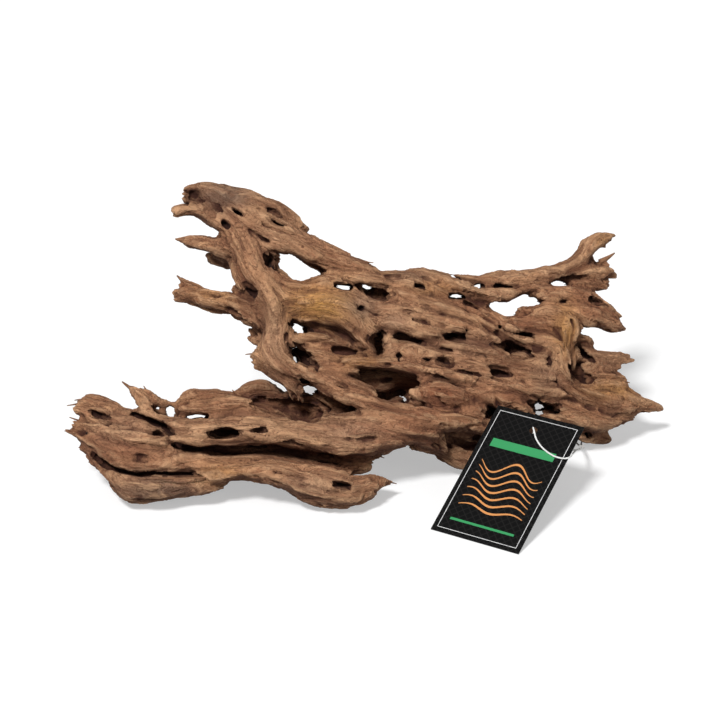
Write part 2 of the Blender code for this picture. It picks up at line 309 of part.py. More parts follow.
# Through holes: the outline that light shines through and how far the front edge of the
# hole lies to the right of it and above it.
WINDOWS = [
    ([(-117.5, 52.5), (-117, 58.5), (-114.5, 58.5), (-111, 55.5), (-112.5, 53), (-115, 51.5)], (0, 0.5)),
    ([(-106, 53), (-99, 54.8), (-92, 53), (-96, 51.3), (-102, 51.3)], (0, 1.4)),
    ([(-35, 70.5), (-31, 71), (-26, 68.5), (-28, 66.5), (-29, 65), (-31, 65.5), (-34, 68)], (0, 1)),
    ([(-43.5, 108), (-42, 109.6), (-38, 109.2), (-34.5, 107), (-33, 103.5), (-35, 102.6),
      (-39, 103.6), (-42.5, 105.5)], (0, 2)),
    ([(-43.8, 95), (-42, 96.3), (-38, 96), (-36.3, 95.3), (-39, 94.2), (-42, 94)], (0, 1)),
    ([(-42.8, 89.8), (-41, 89.5), (-39, 86.5), (-38.6, 84.6), (-40.5, 85.8), (-42.3, 88)], (0.5, 0)),
    ([(-52, 148.5), (-48, 149.7), (-41, 148.7), (-35, 146.5), (-29, 142.7), (-22.5, 137.6),
      (-29, 136.2), (-36, 134), (-41, 135.3), (-47, 138.6), (-49.5, 140.3), (-53.5, 139.3),
      (-52, 143)], (-1, 3.5)),
    ([(-18.5, 131.8), (-12, 132.5), (-5.6, 131.3), (-6, 128.7), (-12, 128.6)], (0, 1.5)),
    ([(-2.3, 132.3), (3, 132.8), (7.3, 131), (6, 128.9), (1, 129.2)], (0, 1.5)),
    ([(51.5, 137.8), (54, 138), (59, 135.2), (58, 134.2), (54, 135.3)], (0, 0)),
    ([(-50.5, 133.9), (-48, 134), (-45.5, 131.8), (-46.5, 131), (-49, 132)], (-1, 1.5)),
    ([(51.8, 126), (54, 127.1), (59, 126.8), (61.6, 125), (60, 123.8), (53, 124.3)], (0, 0)),
    ([(62.5, 131), (66, 131.2), (68.5, 132), (72, 132.4), (71.8, 129.5), (70, 127.6), (68, 128.8),
      (64, 129.6)], (-1, 2.5)),
    ([(111.5, 132), (114, 134), (119, 134.5), (124, 133.5), (124.2, 131.5), (120, 130.6),
      (114, 131)], (0, 2)),
    ([(80, 117.5), (83, 121), (86, 122.8), (89, 121.3), (95, 123.3), (101, 125.2), (105, 124.6),
      (108, 122.3), (106.5, 119.8), (99, 119), (92.5, 117), (94.3, 114), (91, 112), (86, 112),
      (80.5, 114)], (1, 2.5)),
    ([(22.3, 65), (24, 66.2), (26.5, 64.8), (27, 62.6), (30.5, 61.8), (28.5, 60.8), (24.5, 62)], (0, 0)),
    ([(103, 62), (106, 62.5), (108.5, 60), (108.5, 57.6), (104.5, 57.6), (103.5, 59.5)], (0, 0.5)),
    ([(103, 55.3), (106, 56.3), (110, 56), (109.5, 53.2), (105, 52.9)], (0, 0)),
]

# Hollows, pits and undercuts that don't go through, as strands of missing wood.
HOLLOWS = [
    # on the log
    [(-124, 61, 0, 1.6, 8), (-122.5, 57.5, -2, 3.4, 12), (-119.5, 53.5, -2, 2, 10)],
    [(-124.5, 44.5, -14, 1, 6), (-122, 42.8, -14, 1.8, 8), (-119.5, 41, -14, 0.9, 6)],
    [(-92, 43, -18, 1.4, 8), (-87, 43, -18, 3.2, 14), (-80, 43.3, -18, 3.2, 14), (-73, 43.8, -18, 1.3, 6)],
    [(-164, 56.3, -2, 1, 4), (-159, 54.5, -3, 2.3, 7), (-153, 52.3, -4, 1.2, 5)],
    [(-116, 37, -14, 1, 8), (-105, 33.6, -14, 2, 14), (-90, 33, -14, 2.9, 17), (-70, 33, -14, 3.9, 18),
     (-50, 32.3, -14, 4.6, 18), (-35, 29.5, -13, 4.3, 18), (-20, 26.3, -12, 4, 18),
     (-5, 24, -11, 4.6, 15), (6, 25, -10, 3.8, 12)],
    [(-18.5, 13, -22, 1.2, 5), (-12, 11.8, -22, 2.2, 9), (-6, 10.5, -20, 1.2, 5)],
    [(-137, 19.3, -20, 1, 6), (-126, 18.6, -20, 1.8, 12), (-112, 18.4, -20, 2.4, 14),
     (-99, 18.6, -18, 2, 12)],
    # trough and its pits
    [(-68, 61.5, 4, 1.6, 9), (-56, 60, 2, 4.6, 14), (-44, 57.5, 0, 6.2, 17), (-32, 54.5, 0, 7.6, 18),
     (-22, 56, 2, 5, 14)],
    [(-19, 59.5, 0, 3, 10), (-11, 58.5, -2, 3, 10)],
    [(-6, 59.5, -6, 2, 9), (-3, 56, -6, 2, 9)],
    # on the upper-left limb
    [(-56, 150, -6, 3, 12), (-56, 144, -6, 3.2, 12)],
    [(-56, 172, -7, 1.6, 6), (-52, 169, -7, 2.2, 8), (-45, 166.5, -7, 1.4, 4)],
    [(-83.5, 170, -8, 1.6, 6), (-81, 167.3, -8, 1.8, 7)],
    [(-103, 184.5, 2, 3.5, 6), (-98.5, 184, 2, 3.2, 7)],
    [(-78, 177.5, -6, 1, 5), (-74, 175, -6, 1.5, 10), (-71, 173, -6, 1, 8)],
    # cup at the root of the lower-left prong
    [(-76, 129.5, -15, 2.5, 6), (-70, 129.5, -15, 4.6, 10), (-64.5, 126.5, -14, 3.6, 11),
     (-62.5, 123.5, -13, 1.6, 9)],
    # left of the middle
    [(-43, 94, -10, 1.5, 9), (-38, 92, -12, 3.5, 14), (-34.5, 88, -12, 4.5, 14), (-31, 84, -10, 2.5, 10)],
    [(-29, 84, -9, 1.6, 7), (-25.5, 81, -9, 1.8, 7)],
    [(-38, 76.8, -8, 1, 6), (-35, 75, -8, 1.6, 8), (-31.5, 71.8, -8, 1.2, 7)],
    [(-18, 93, -8, 2, 8), (-8, 91.8, -10, 2.8, 10), (0, 91, -10, 1.6, 8)],
    # in and around the broad plate
    [(4.5, 124.5, -12, 1.3, 8), (10, 126, -14, 2.8, 13), (17, 127, -14, 3, 13)],
    [(-3, 119, -14, 1.8, 5), (2, 118, -14, 2.2, 6)],
    [(31, 131.5, -12, 1.7, 8), (35, 131, -12, 2, 10), (38, 129.5, -12, 1, 6)],
    [(30.5, 111.5, -18, 0.9, 6), (36, 110.8, -18, 1.3, 8), (42, 108.8, -18, 0.8, 4)],
    [(50, 101, -15, 1.3, 8), (56, 102.5, -15, 2.5, 13), (62, 103, -15, 2.3, 12), (62.5, 106, -14, 1.2, 8)],
    [(19, 101, -14, 1, 8), (30, 98.7, -14, 1.6, 10), (41, 96, -14, 1, 7)],
    [(6, 103, -12, 2.5, 10), (10, 98, -12, 4.3, 13), (11, 92, -12, 3, 11)],
    [(22, 90.7, -15, 1.5, 8), (23, 88, -15, 1.6, 8)],
    [(37.8, 88.2, -16, 1.7, 8), (39.8, 85.3, -16, 1.5, 8)],
    [(44, 88.5, -15, 1.2, 5), (50, 86, -16, 3, 8), (54, 83, -16, 1.2, 5)],
    # lower middle
    [(-5, 78.5, -10, 1.5, 6), (3, 77.5, -13, 3, 13), (12, 76.5, -14, 4.2, 17), (20, 75.5, -14, 3.8, 16)],
    [(12, 74, -14, 2.5, 14), (7.5, 69.5, -14, 1.8, 12)],
    [(10, 64.5, -12, 1.8, 10), (17, 64, -14, 4.2, 18), (25, 63.5, -14, 4, 18), (31, 63, -14, 1.6, 10)],
    [(73, 55, -14, 3, 10), (79, 53.5, -14, 4.5, 14), (84, 53, -12, 2, 8)],
    # right
    [(80, 108, -13, 0.9, 6), (89, 103.7, -13, 1.2, 7), (97, 101.8, -14, 2.4, 12), (104, 100.8, -13, 1.4, 8)],
    [(79, 96.5, -15, 1, 6), (85, 96, -16, 2.5, 12), (91, 93, -16, 5.5, 14), (98, 91, -16, 4, 12),
     (103, 88, -15, 1.3, 6)],
    [(77, 79.5, -17, 1, 6), (83, 78.7, -17, 2.3, 10), (89, 77.5, -16, 1, 6)],
    [(101, 58.5, -14, 2.5, 10), (107, 58, -14, 4.5, 14), (115, 56, -13, 3.5, 12), (118.5, 53.5, -12, 1.3, 6)],
    [(133.5, 42, 2, 2, 7), (136, 41.3, 2, 2, 7)],
    [(127, 95.5, -8, 1.5, 8), (131, 92.5, -7, 2.6, 10), (136, 88, -6, 2.2, 9), (138.5, 84.5, -6, 1, 5)],
    [(124, 83, -15, 2, 5), (128, 78.5, -15, 4, 8), (133, 74, -15, 3.5, 8), (139, 72, -14, 1.8, 5)],
    [(129, 106.5, -10, 1.2, 9), (134, 103.5, -8, 2, 10), (140, 102.5, -6, 2, 10), (148, 104.5, -6, 1.4, 8)],
    [(80, 131.8, -2, 1.1, 6), (85, 131.3, -2, 1.5, 8), (89, 130.6, -2, 1, 5)],
    [(136, 124, -12, 1, 6), (140, 122, -12, 1.4, 7), (144.5, 120.8, -11, 0.8, 4)],
    # in the back
    [(-26, 126, 27, 4, 7), (-6, 120, 28, 5, 8), (10, 116, 27, 3, 6)],
    [(44, 110, 27, 3, 6), (62, 104, 27, 5, 8), (80, 98, 27, 3.5, 7)],
    [(-24, 90, 28, 3, 6), (-6, 90, 28, 5, 8), (8, 92, 27, 3, 6)],
    [(96, 80, 28, 3.5, 7), (112, 76, 27, 4.5, 8), (124, 74, 25, 2.5, 6)],
    [(-104, 40, 33, 4, 8), (-80, 44, 35, 5.5, 10), (-58, 44, 34, 4, 8)],
]

# What stands in the hollows.
LATE_STRANDS = [
    [(90, 89.5, -8, 2.5, 6), (96, 90, -9, 3.6, 7), (101.5, 88, -9, 2.2, 5)],
]

# The closed loop of the tag. On the card, in millimetres along its lower edge, up its face
# and out of its face: up through the hole, down over the face and past the card's edge.
LOOP_ON_CARD = [
    (28.6, 83.2, -4.5), (28.2, 85.6, -2), (28.2, 85.7, 0.3), (28.9, 84.9, 2), (31, 82.1, 2.2),
    (34.2, 77.9, 1.6), (40.2, 73.4, 1.3), (48.1, 70.2, 1.3), (54.5, 69.7, 1.5), (58.9, 71.3, 1.9),
]
# Then, as x and h in the picture plane and depth behind it: under the wood's right end,
# round the spur at its back and back behind the card.
LOOP_TO_WOOD = [
    (128, 32.4, -4), (130.4, 33.6, 16), (131.6, 34.6, 36), (131.2, 35.6, 54), (130, 36, 62),
    (128.2, 38.2, 69), (126, 43.4, 73), (126.2, 48.8, 76), (130, 53.2, 78.5), (133.6, 48.8, 76.5),
    (133.2, 43.4, 74.2), (132.5, 39.8, 71.8), (131.6, 37, 68), (131.6, 36, 62), (132.6, 35.6, 54),
    (133, 34.6, 36), (131.6, 33.6, 22), (127, 33, 15), (118, 34.6, 13), (110, 38.4, 15), (105, 41.5, 17),
]


def picture_axes():
    """The picture's right, up and away directions."""
    right = Vector((1.0, 0.0, 0.0))
    up = Vector((0.0, math.sin(VIEW_TILT), math.cos(VIEW_TILT)))
    away = Vector((0.0, math.cos(VIEW_TILT), -math.sin(VIEW_TILT)))
    return right, up, away


RIGHT, UP, AWAY = picture_axes()


def seen_at(x, h, depth):
    """A point, in metres, that the viewer sees at (x, h) and a depth further away."""
    centre_x, centre_h = PICTURE_CENTRE_MM
    spread = 1.0 + depth / VIEW_DISTANCE_MM
    point = RIGHT * (centre_x + (x - centre_x) * spread)
    point += UP * (centre_h + (h - centre_h) * spread)
    point += AWAY * depth
    return point * MM


def place(x, h, d):
    """A point of the wood, which leans back and sweeps back towards its right end."""
    past_start = x - SWEEP_START_MM
    sweep = SWEEP * (past_start + math.hypot(past_start, SWEEP_EASE_MM)) / 2.0
    return seen_at(x, h, d + LEAN * h + sweep)


def between(values, index, share):
    """Catmull-Rom value a share of the way from station index to the next."""
    last = len(values) - 1
    before = values[max(index - 1, 0)]
    start = values[index]
    end = values[min(index + 1, last)]
    after = values[min(index + 2, last)]
    result = []
    for a, b, c, d in zip(before, start, end, after):
        slope_in = (c - a) / 2.0
        slope_out = (d - b) / 2.0
        blend = (2.0 * b - 2.0 * c + slope_in + slope_out) * share ** 3
        blend += (-3.0 * b + 3.0 * c - 2.0 * slope_in - slope_out) * share ** 2
        blend += slope_in * share + b
        result.append(blend)
    return result


def smooth_row(stations):
    """The stations of a strand with more of them in between, on a smooth curve."""
    row = []
    for index in range(len(stations) - 1):
        here = stations[index]
        there = stations[index + 1]
        length = math.dist(here[:3], there[:3])
        steps = max(2, round(length / STATION_STEP_MM))
        for step in range(steps):
            row.append(between(stations, index, step / steps))
    row.append(list(stations[-1]))
    for station in row:
        station[3] = max(station[3], LEAST_HALF_WIDTH_MM)
        station[4] = max(station[4], LEAST_HALF_WIDTH_MM)
    return row


def flattened(value, squareness):
    """A sine or cosine bent towards the corners of a squarer section."""
    return math.copysign(abs(value) ** (2.0 / squareness), value)


def add_strand(mesh, stations, squareness, swell=0.0):
    """One closed strand of rounded section with domed ends, swollen by some millimetres."""
    row = smooth_row(stations)
    centres = [place(*station[:3]) for station in row]
    rings = []
    for index, station in enumerate(row):
        ahead = centres[min(index + 1, len(row) - 1)]
        behind = centres[max(index - 1, 0)]
        along = (ahead - behind).normalized()
        across = along.cross(AWAY).normalized()
        through = across.cross(along).normalized()
        width = (station[3] + swell) * MM
        depth = (station[4] + swell) * MM
        ring = []
        for side in range(STRAND_SIDES):
            angle = 2.0 * math.pi * side / STRAND_SIDES
            offset = across * (width * flattened(math.cos(angle), squareness))
            offset += through * (depth * flattened(math.sin(angle), squareness))
            ring.append(mesh.verts.new(centres[index] + offset))
        rings.append(ring)
    for ring, next_ring in zip(rings, rings[1:]):
        for side in range(STRAND_SIDES):
            other = (side + 1) % STRAND_SIDES
            mesh.faces.new((ring[side], ring[other], next_ring[other], next_ring[side]))
    first_reach = (row[0][3] * TIP_REACH + swell) * MM
    last_reach = (row[-1][3] * TIP_REACH + swell) * MM
    first_tip = centres[0] + (centres[0] - centres[1]).normalized() * first_reach
    last_tip = centres[-1] + (centres[-1] - centres[-2]).normalized() * last_reach
    start_pole = mesh.verts.new(first_tip)
    end_pole = mesh.verts.new(last_tip)
    for side in range(STRAND_SIDES):
        other = (side + 1) % STRAND_SIDES
        mesh.faces.new((start_pole, rings[0][other], rings[0][side]))
        mesh.faces.new((end_pole, rings[-1][side], rings[-1][other]))


def closed_curve(outline, steps=3):
    """The outline's points with more of them in between, on a closed smooth curve."""
    count = len(outline)
    points = []
    for index in range(count):
        ring = [outline[(index + offset) % count] for offset in (-1, 0, 1, 2)]
        for step in range(steps):
            points.append(between(ring, 1, step / steps))
    return points


def add_window(mesh, outline, lift):
    """A cutter along the lines of sight through an outline, wider towards the front."""
    points = closed_curve(outline)
    count = len(points)
    mid_x = sum(point[0] for point in points) / count
    mid_h = sum(point[1] for point in points) / count
    levels = [
        (WINDOW_FRONT_MM, WINDOW_FLARE, MOUTH_LIFT),
        (WINDOW_SHOULDER_MM, SHOULDER_FLARE, 1.0),
        (WINDOW_WAIST_MM, 1.0, 0.0),
        (WINDOW_BACK_MM, WINDOW_FLARE, 0.0),
    ]
    rings = []
    for depth, scale, lift_share in levels:
        ring = []
        for x, h in points:
            ring_x = mid_x + (x - mid_x) * scale + lift[0] * lift_share
            ring_h = mid_h + (h - mid_h) * scale + lift[1] * lift_share
            ring.append(mesh.verts.new(place(ring_x, ring_h, depth)))
        rings.append(ring)
    for ring, next_ring in zip(rings, rings[1:]):
        for index in range(count):
            other = (index + 1) % count
            mesh.faces.new((ring[index], ring[other], next_ring[other], next_ring[index]))
    front = mesh.faces.new(rings[0])
    back = mesh.faces.new(rings[-1])
    bmesh.ops.triangulate(mesh, faces=[front, back])


def new_object(name, mesh):
    """An object in the scene from a bmesh, with its faces turned outwards."""
    bmesh.ops.recalc_face_normals(mesh, faces=mesh.faces[:])
    data = bpy.data.meshes.new(name)
    mesh.to_mesh(data)
    mesh.free()
    result = bpy.data.objects.new(name, data)
    bpy.context.scene.collection.objects.link(result)
    return result


def strand_object(name, groups, squareness, swell=0.0):
    """One object with every strand of the groups in it."""
    mesh = bmesh.new()
    for group in groups:
        for stations in group:
            add_strand(mesh, stations, squareness, swell)
    return new_object(name, mesh)


def apply_modifiers(target):
    """Keep the evaluated mesh of an object and drop its modifiers."""
    graph = bpy.context.evaluated_depsgraph_get()
    graph.update()
    evaluated = target.evaluated_get(graph)
    data = bpy.data.meshes.new_from_object(evaluated)
    target.modifiers.clear()
    target.data = data


def remesh(target, voxel):
    """Grow the overlapping closed pieces of an object into one skin."""
    modifier = target.modifiers.new("grow together", "REMESH")
    modifier.mode = "VOXEL"
    modifier.voxel_size = voxel
    apply_modifiers(target)


def boolean(target, cutter, operation, solver):
    """Cut or join, and remove the second object."""
    modifier = target.modifiers.new(operation.lower(), "BOOLEAN")
    modifier.operation = operation
    modifier.solver = solver
    modifier.object = cutter
    apply_modifiers(target)
    bpy.data.objects.remove(cutter, do_unlink=True)


def keep_largest(target):
    """Drop loose scraps, so the wood is one body."""
    mesh = bmesh.new()
    mesh.from_mesh(target.data)
    unseen = set(mesh.verts)
    bodies = []
    while unseen:
        start = unseen.pop()
        body = [start]
        edge_of_search = [start]
        while edge_of_search:
            vertex = edge_of_search.pop()
            for edge in vertex.link_edges:
                other = edge.other_vert(vertex)
                if other in unseen:
                    unseen.remove(other)
                    body.append(other)
                    edge_of_search.append(other)
        bodies.append(body)
    bodies.sort(key=len)
    scraps = [vertex for body in bodies[:-1] for vertex in body]
    bmesh.ops.delete(mesh, geom=scraps, context="VERTS")
    mesh.to_mesh(target.data)
    mesh.free()


def material(name, colour, roughness):
    """A Principled material."""
    result = bpy.data.materials.new(name)
    result.use_nodes = True
    shader = result.node_tree.nodes["Principled BSDF"]
    shader.inputs["Base Color"].default_value = (*colour, 1.0)
    shader.inputs["Roughness"].default_value = roughness
    shader.inputs["Metallic"].default_value = 0.0
    result.diffuse_color = (*colour, 1.0)
    return result


def ground_block():
    """Everything under the surface that the wood stands on."""
    mesh = bmesh.new()
    bmesh.ops.create_cube(mesh, size=GROUND_CUT_SIZE)
    bmesh.ops.translate(mesh, verts=mesh.verts[:], vec=(0.0, 0.0, -GROUND_CUT_SIZE / 2.0))
    return new_object("ground_block", mesh)


def build_wood():
    """The wood: strands grown together, hollowed, smoothed and cut flat where it stands."""
    groups = [LOG_STRANDS, LEFT_LIMB_STRANDS, BODY_STRANDS, RIGHT_STRANDS, BACK_STRANDS]
    wood = strand_object("wood", groups, WOOD_SQUARENESS, CREASE_FILL_MM)
    remesh(wood, UNION_VOXEL)
    shrink = wood.modifiers.new("back to size", "DISPLACE")
    shrink.mid_level = 0.0
    shrink.strength = -CREASE_FILL_MM * MM
    apply_modifiers(wood)
    remesh(wood, UNION_VOXEL)

    hollows = strand_object("hollows", [HOLLOWS], HOLLOW_SQUARENESS)
    remesh(hollows, HOLLOW_VOXEL)
    boolean(wood, hollows, "DIFFERENCE", "MANIFOLD")

    for outline, lift in WINDOWS:
        mesh = bmesh.new()
        add_window(mesh, outline, lift)
        boolean(wood, new_object("window", mesh), "DIFFERENCE", "MANIFOLD")

    late = strand_object("late", [LATE_STRANDS], HOLLOW_SQUARENESS)
    boolean(wood, late, "UNION", "MANIFOLD")
    remesh(wood, UNION_VOXEL)
    keep_largest(wood)

    smooth = wood.modifiers.new("weathered", "SMOOTH")
    smooth.factor = SMOOTHING
    smooth.iterations = SMOOTHING_STEPS
    apply_modifiers(wood)

    faces = sum(len(polygon.vertices) - 2 for polygon in wood.data.polygons)
    decimate = wood.modifiers.new("fewer faces", "DECIMATE")
    decimate.ratio = WOOD_FACES / faces
    decimate.use_collapse_triangulate = True
    apply_modifiers(wood)

    boolean(wood, ground_block(), "DIFFERENCE", "EXACT")
    keep_largest(wood)
    wood.data.materials.clear()
    wood.data.materials.append(material("wood", (0.42, 0.25, 0.145), 0.85))
    return wood


def tag_axes():
    """The directions along the tag's lower edge, up its face and out of its face."""
    along = Vector((math.cos(TAG_TURN), math.sin(TAG_TURN), 0.0))
    level_back = Vector((-along.y, along.x, 0.0))
    up_face = level_back * math.cos(TAG_LEAN) + Vector((0.0, 0.0, math.sin(TAG_LEAN)))
    return along, up_face, along.cross(up_face)


def build_tag_card():
    """The card, a thin plate with a punched hole near its upper edge."""
    along, up_face, out = tag_axes()
    width, height, thickness = TAG_SIZE
    corner = Vector((TAG_FOOT_MM[0] * MM, TAG_FOOT_MM[1] * MM, 0.0))
    turn = Matrix((along, up_face, out)).transposed().to_4x4()

    mesh = bmesh.new()
    bmesh.ops.create_cube(mesh, size=1.0)
    bmesh.ops.scale(mesh, verts=mesh.verts[:], vec=(width, height, thickness))
    bmesh.ops.translate(mesh, verts=mesh.verts[:], vec=(width / 2.0, height / 2.0, thickness / 2.0))
    bmesh.ops.transform(mesh, verts=mesh.verts[:], matrix=Matrix.Translation(corner) @ turn)
    card = new_object("tag_card", mesh)

    mesh = bmesh.new()
    radius = TAG_HOLE_DIAMETER / 2.0
    bmesh.ops.create_cone(mesh, cap_ends=True, segments=TAG_HOLE_SIDES, radius1=radius, radius2=radius,
                          depth=thickness * 10.0)
    bmesh.ops.translate(mesh, verts=mesh.verts[:], vec=(width / 2.0, height - TAG_HOLE_FROM_TOP, 0.0))
    bmesh.ops.transform(mesh, verts=mesh.verts[:], matrix=Matrix.Translation(corner) @ turn)
    boolean(card, new_object("tag_hole", mesh), "DIFFERENCE", "EXACT")
    card.data.materials.clear()
    card.data.materials.append(material("tag_card", (0.012, 0.012, 0.013), 0.45))
    return card


def build_tag_loop():
    """The loop, a thin round elastic cord that closes on itself."""
    along, up_face, out = tag_axes()
    corner = Vector((TAG_FOOT_MM[0], TAG_FOOT_MM[1], 0.0))
    path = []
    for across, up, off in LOOP_ON_CARD:
        path.append((corner + along * across + up_face * up + out * off) * MM)
    for station in LOOP_TO_WOOD:
        path.append(seen_at(*station))
    count = len(path)
    points = []
    for index in range(count):
        ring = [path[(index + offset) % count] for offset in (-1, 0, 1, 2)]
        steps = max(1, round((ring[2] - ring[1]).length / (STATION_STEP_MM * MM)))
        for step in range(steps):
            points.append(Vector(between(ring, 1, step / steps)))

    mesh = bmesh.new()
    rings = []
    side_on = None
    for index, point in enumerate(points):
        along = (points[(index + 1) % len(points)] - points[index - 1]).normalized()
        if side_on is None:
            side_on = along.orthogonal()
        side_on = (side_on - along * side_on.dot(along)).normalized()
        other_side = along.cross(side_on)
        ring = []
        for side in range(LOOP_SIDES):
            angle = 2.0 * math.pi * side / LOOP_SIDES
            offset = side_on * math.cos(angle) + other_side * math.sin(angle)
            ring.append(mesh.verts.new(point + offset * LOOP_DIAMETER / 2.0))
        rings.append(ring)
    # The last ring meets the first with the turn that lines their corners up best.
    turns = range(LOOP_SIDES)
    last = rings[-1][0].co
    best = min(turns, key=lambda turn: (rings[0][turn].co - last).length)
    rings.append([rings[0][(side + best) % LOOP_SIDES] for side in turns])
    for ring, next_ring in zip(rings, rings[1:]):
        for side in turns:
            other = (side + 1) % LOOP_SIDES
            mesh.faces.new((ring[side], ring[other], next_ring[other], next_ring[side]))
    loop = new_object("tag_loop", mesh)
    loop.data.materials.append(material("tag_loop", (0.85, 0.85, 0.83), 0.6))
    return loop


def main():
    for leftover in list(bpy.data.objects):
        bpy.data.objects.remove(leftover, do_unlink=True)
    shift = Vector((-BOX_CENTRE_MM[0] * MM, -BOX_CENTRE_MM[1] * MM, 0.0))
    for built in (build_wood(), build_tag_card(), build_tag_loop()):
        built.data.transform(Matrix.Translation(shift))


main()
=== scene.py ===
"""Dragon wood: the finish of one gnarled piece of weathered root wood and its hang tag.

The wood is modelled again as it grew, from strands that run along the grain, with finer
cracks, ridges and fibres than the solid has. Every strand is a row of stations
(x, h, d, w, t) in millimetres: x to the right and h up in the picture plane of a viewer who
looks slightly down, d away from the viewer, w half the strand's width across the picture
and t half its thickness in depth.
"""

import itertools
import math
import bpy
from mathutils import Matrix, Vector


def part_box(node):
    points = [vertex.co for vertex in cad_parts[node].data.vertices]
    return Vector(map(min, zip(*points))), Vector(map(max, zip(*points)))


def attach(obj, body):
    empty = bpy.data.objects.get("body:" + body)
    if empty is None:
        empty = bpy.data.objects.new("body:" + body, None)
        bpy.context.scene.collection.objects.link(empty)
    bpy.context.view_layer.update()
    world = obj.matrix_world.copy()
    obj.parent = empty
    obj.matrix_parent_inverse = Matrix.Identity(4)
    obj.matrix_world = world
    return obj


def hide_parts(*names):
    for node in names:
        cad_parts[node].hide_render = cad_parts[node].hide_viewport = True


bl_info = {
    "name": "Dragon Wood",
    "version": (1, 0, 0),
    "blender": (4, 5, 0),
    "location": "3D View > Sidebar > Dragon Wood",
    "description": "Gnarled root wood with a hang tag on a loop, on a pale studio floor",
    "category": "Add Mesh",
}

import bmesh
import bpy
import numpy as np
from bpy.props import FloatProperty, FloatVectorProperty, IntProperty, PointerProperty
from bpy.types import Operator, Panel, PropertyGroup
from mathutils import Matrix, Vector
from mathutils.bvhtree import BVHTree

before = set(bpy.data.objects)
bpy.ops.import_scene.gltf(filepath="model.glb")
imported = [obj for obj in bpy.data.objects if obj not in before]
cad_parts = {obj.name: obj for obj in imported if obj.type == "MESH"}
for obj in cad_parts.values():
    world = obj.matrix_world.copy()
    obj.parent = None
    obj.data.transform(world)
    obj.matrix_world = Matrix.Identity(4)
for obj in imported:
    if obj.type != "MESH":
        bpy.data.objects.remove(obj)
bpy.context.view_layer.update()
BODY = "root"

# The picture-aligned frame in which the wood is laid out, as in the solid.
MM = 0.001
BOX_CENTRE_MM = (4.965, 46.359)     # x and y of the middle of the whole box
VIEW_TILT = math.radians(26.0)      # how far the viewer looks down
VIEW_DISTANCE_MM = 1500.0
PICTURE_CENTRE_MM = (-1.2, 87.0)
LEAN = 0.16                         # how much further back the wood lies for each mm of h
SWEEP = 0.42                        # and its right end for each mm of x
SWEEP_START_MM = 25.0
SWEEP_EASE_MM = 20.0

# How the strands grow together.
STRAND_SIDES = 16
SPLINTER_SIDES = 5
SPLIT_SIDES = 8
WOOD_SQUARENESS = 2.7               # of a strand's section: 2 is an ellipse, more is squarer
HOLLOW_SQUARENESS = 2.0
CREASE_FILL_MM = 0.9                # creases between strands are filled to this radius
STATION_STEP_MM = 2.5
LEAST_HALF_WIDTH_MM = 0.4
LEAST_SPLINTER_MM = 0.2
TIP_REACH = 0.6                     # how far a domed end stands out, of its half width
UNION_VOXEL = 0.0011
HOLLOW_VOXEL = 0.0007
FINE_VOXEL = 0.00095
SMOOTHING = 0.5
CRISP_EDGE = math.radians(48.0)     # sharper edges than this stay crisp

# The cutters of the through holes. Each of their rings has a depth in mm, a width and a share
# of the front edge's lift.
WINDOW_STEPS = 3                    # points on an outline's curve for each point given
WINDOW_LEVELS = [
    (-55.0, 1.25, 2.0),
    (-18.0, 1.125, 1.0),
    (-2.0, 1.0, 0.0),
    (70.0, 1.25, 0.0),
]

# Where the grain runs is gathered in cubes of this size.
GRAIN_CELL = 0.004
GRAIN_REACH_CELLS = 3
GRAIN_SPREAD_CELLS = 1.4
GRAIN_STEP = 0.0022                 # streaks are followed this far at a time, each way
GRAIN_STEPS = 10
GRAIN_SIZES = (0.0068, 0.0030, 0.0016)
GRAIN_SEED = 11
GRAIN_TURNS = 3                     # how often a heading is turned towards the grain
FALL_OF_LEVEL_GRAIN = 0.3           # downwards, where no strand is near
LATTICE_SIZE = 40

# The relief that is carved along the grain.
GRAIN_LIMIT = 2.2                   # how far a random value may lie from 0
WORN_SIZE, WORN_SEED = 0.021, 5
LUMP_SIZE, LUMP_SEED = 0.0085, 6
CRUMB_SIZE, CRUMB_SEED = 0.0034, 7
RIDGE_TERRACES = 1.3                # steps for each unit of the random value
FIBRE_TERRACES = 1.0
TERRACE_STEEPNESS = 2.6
FURROW_AT = 0.35                    # the value at which a furrow lies, and its width
FURROW_WIDTH = 0.17
CHECK_AT = -0.5
CHECK_WIDTH = 0.3
ROOM_REACH = 0.008                  # gaps narrower than this stay open
ROOM_START = 0.0002
ROOM_SHARE = 0.22
BOX_CLEARANCE = 0.0002
TORN_CLEARANCE = 0.001
LEVEL_HEIGHT = 0.0012               # below this the wood stays smooth to stand level
LEVEL_EASE = 0.003

# Short splits and worm holes that are scattered over the wood. Each size has the least, how
# much more it may be, and a power that makes large ones rare.
SPLITS = 560
SPLIT_POINTS = 7
SPLIT_SEED = 3
SPLIT_LENGTH = (0.004, 0.014, 1.4)
SPLIT_WIDTH_MM = (0.5, 1.5, 2.2)
SPLIT_DEPTH_MM = (1.6, 3.6, 1.0)

# How much of the sky each point of the wood sees, by which its colour is darkened as painted shade.
SHADE_RAYS = 10
SHADE_REACH = 0.018
SHADE_START = 0.0004
SHADE_LOWEST = 0.25                 # how steeply the lowest ray rises, and how much more others do
SHADE_RANGE = 0.7
GOLDEN_TURN = 2.399963              # between one ray and the next, which spreads them evenly
PATCH_FALL_OFF = 0.8

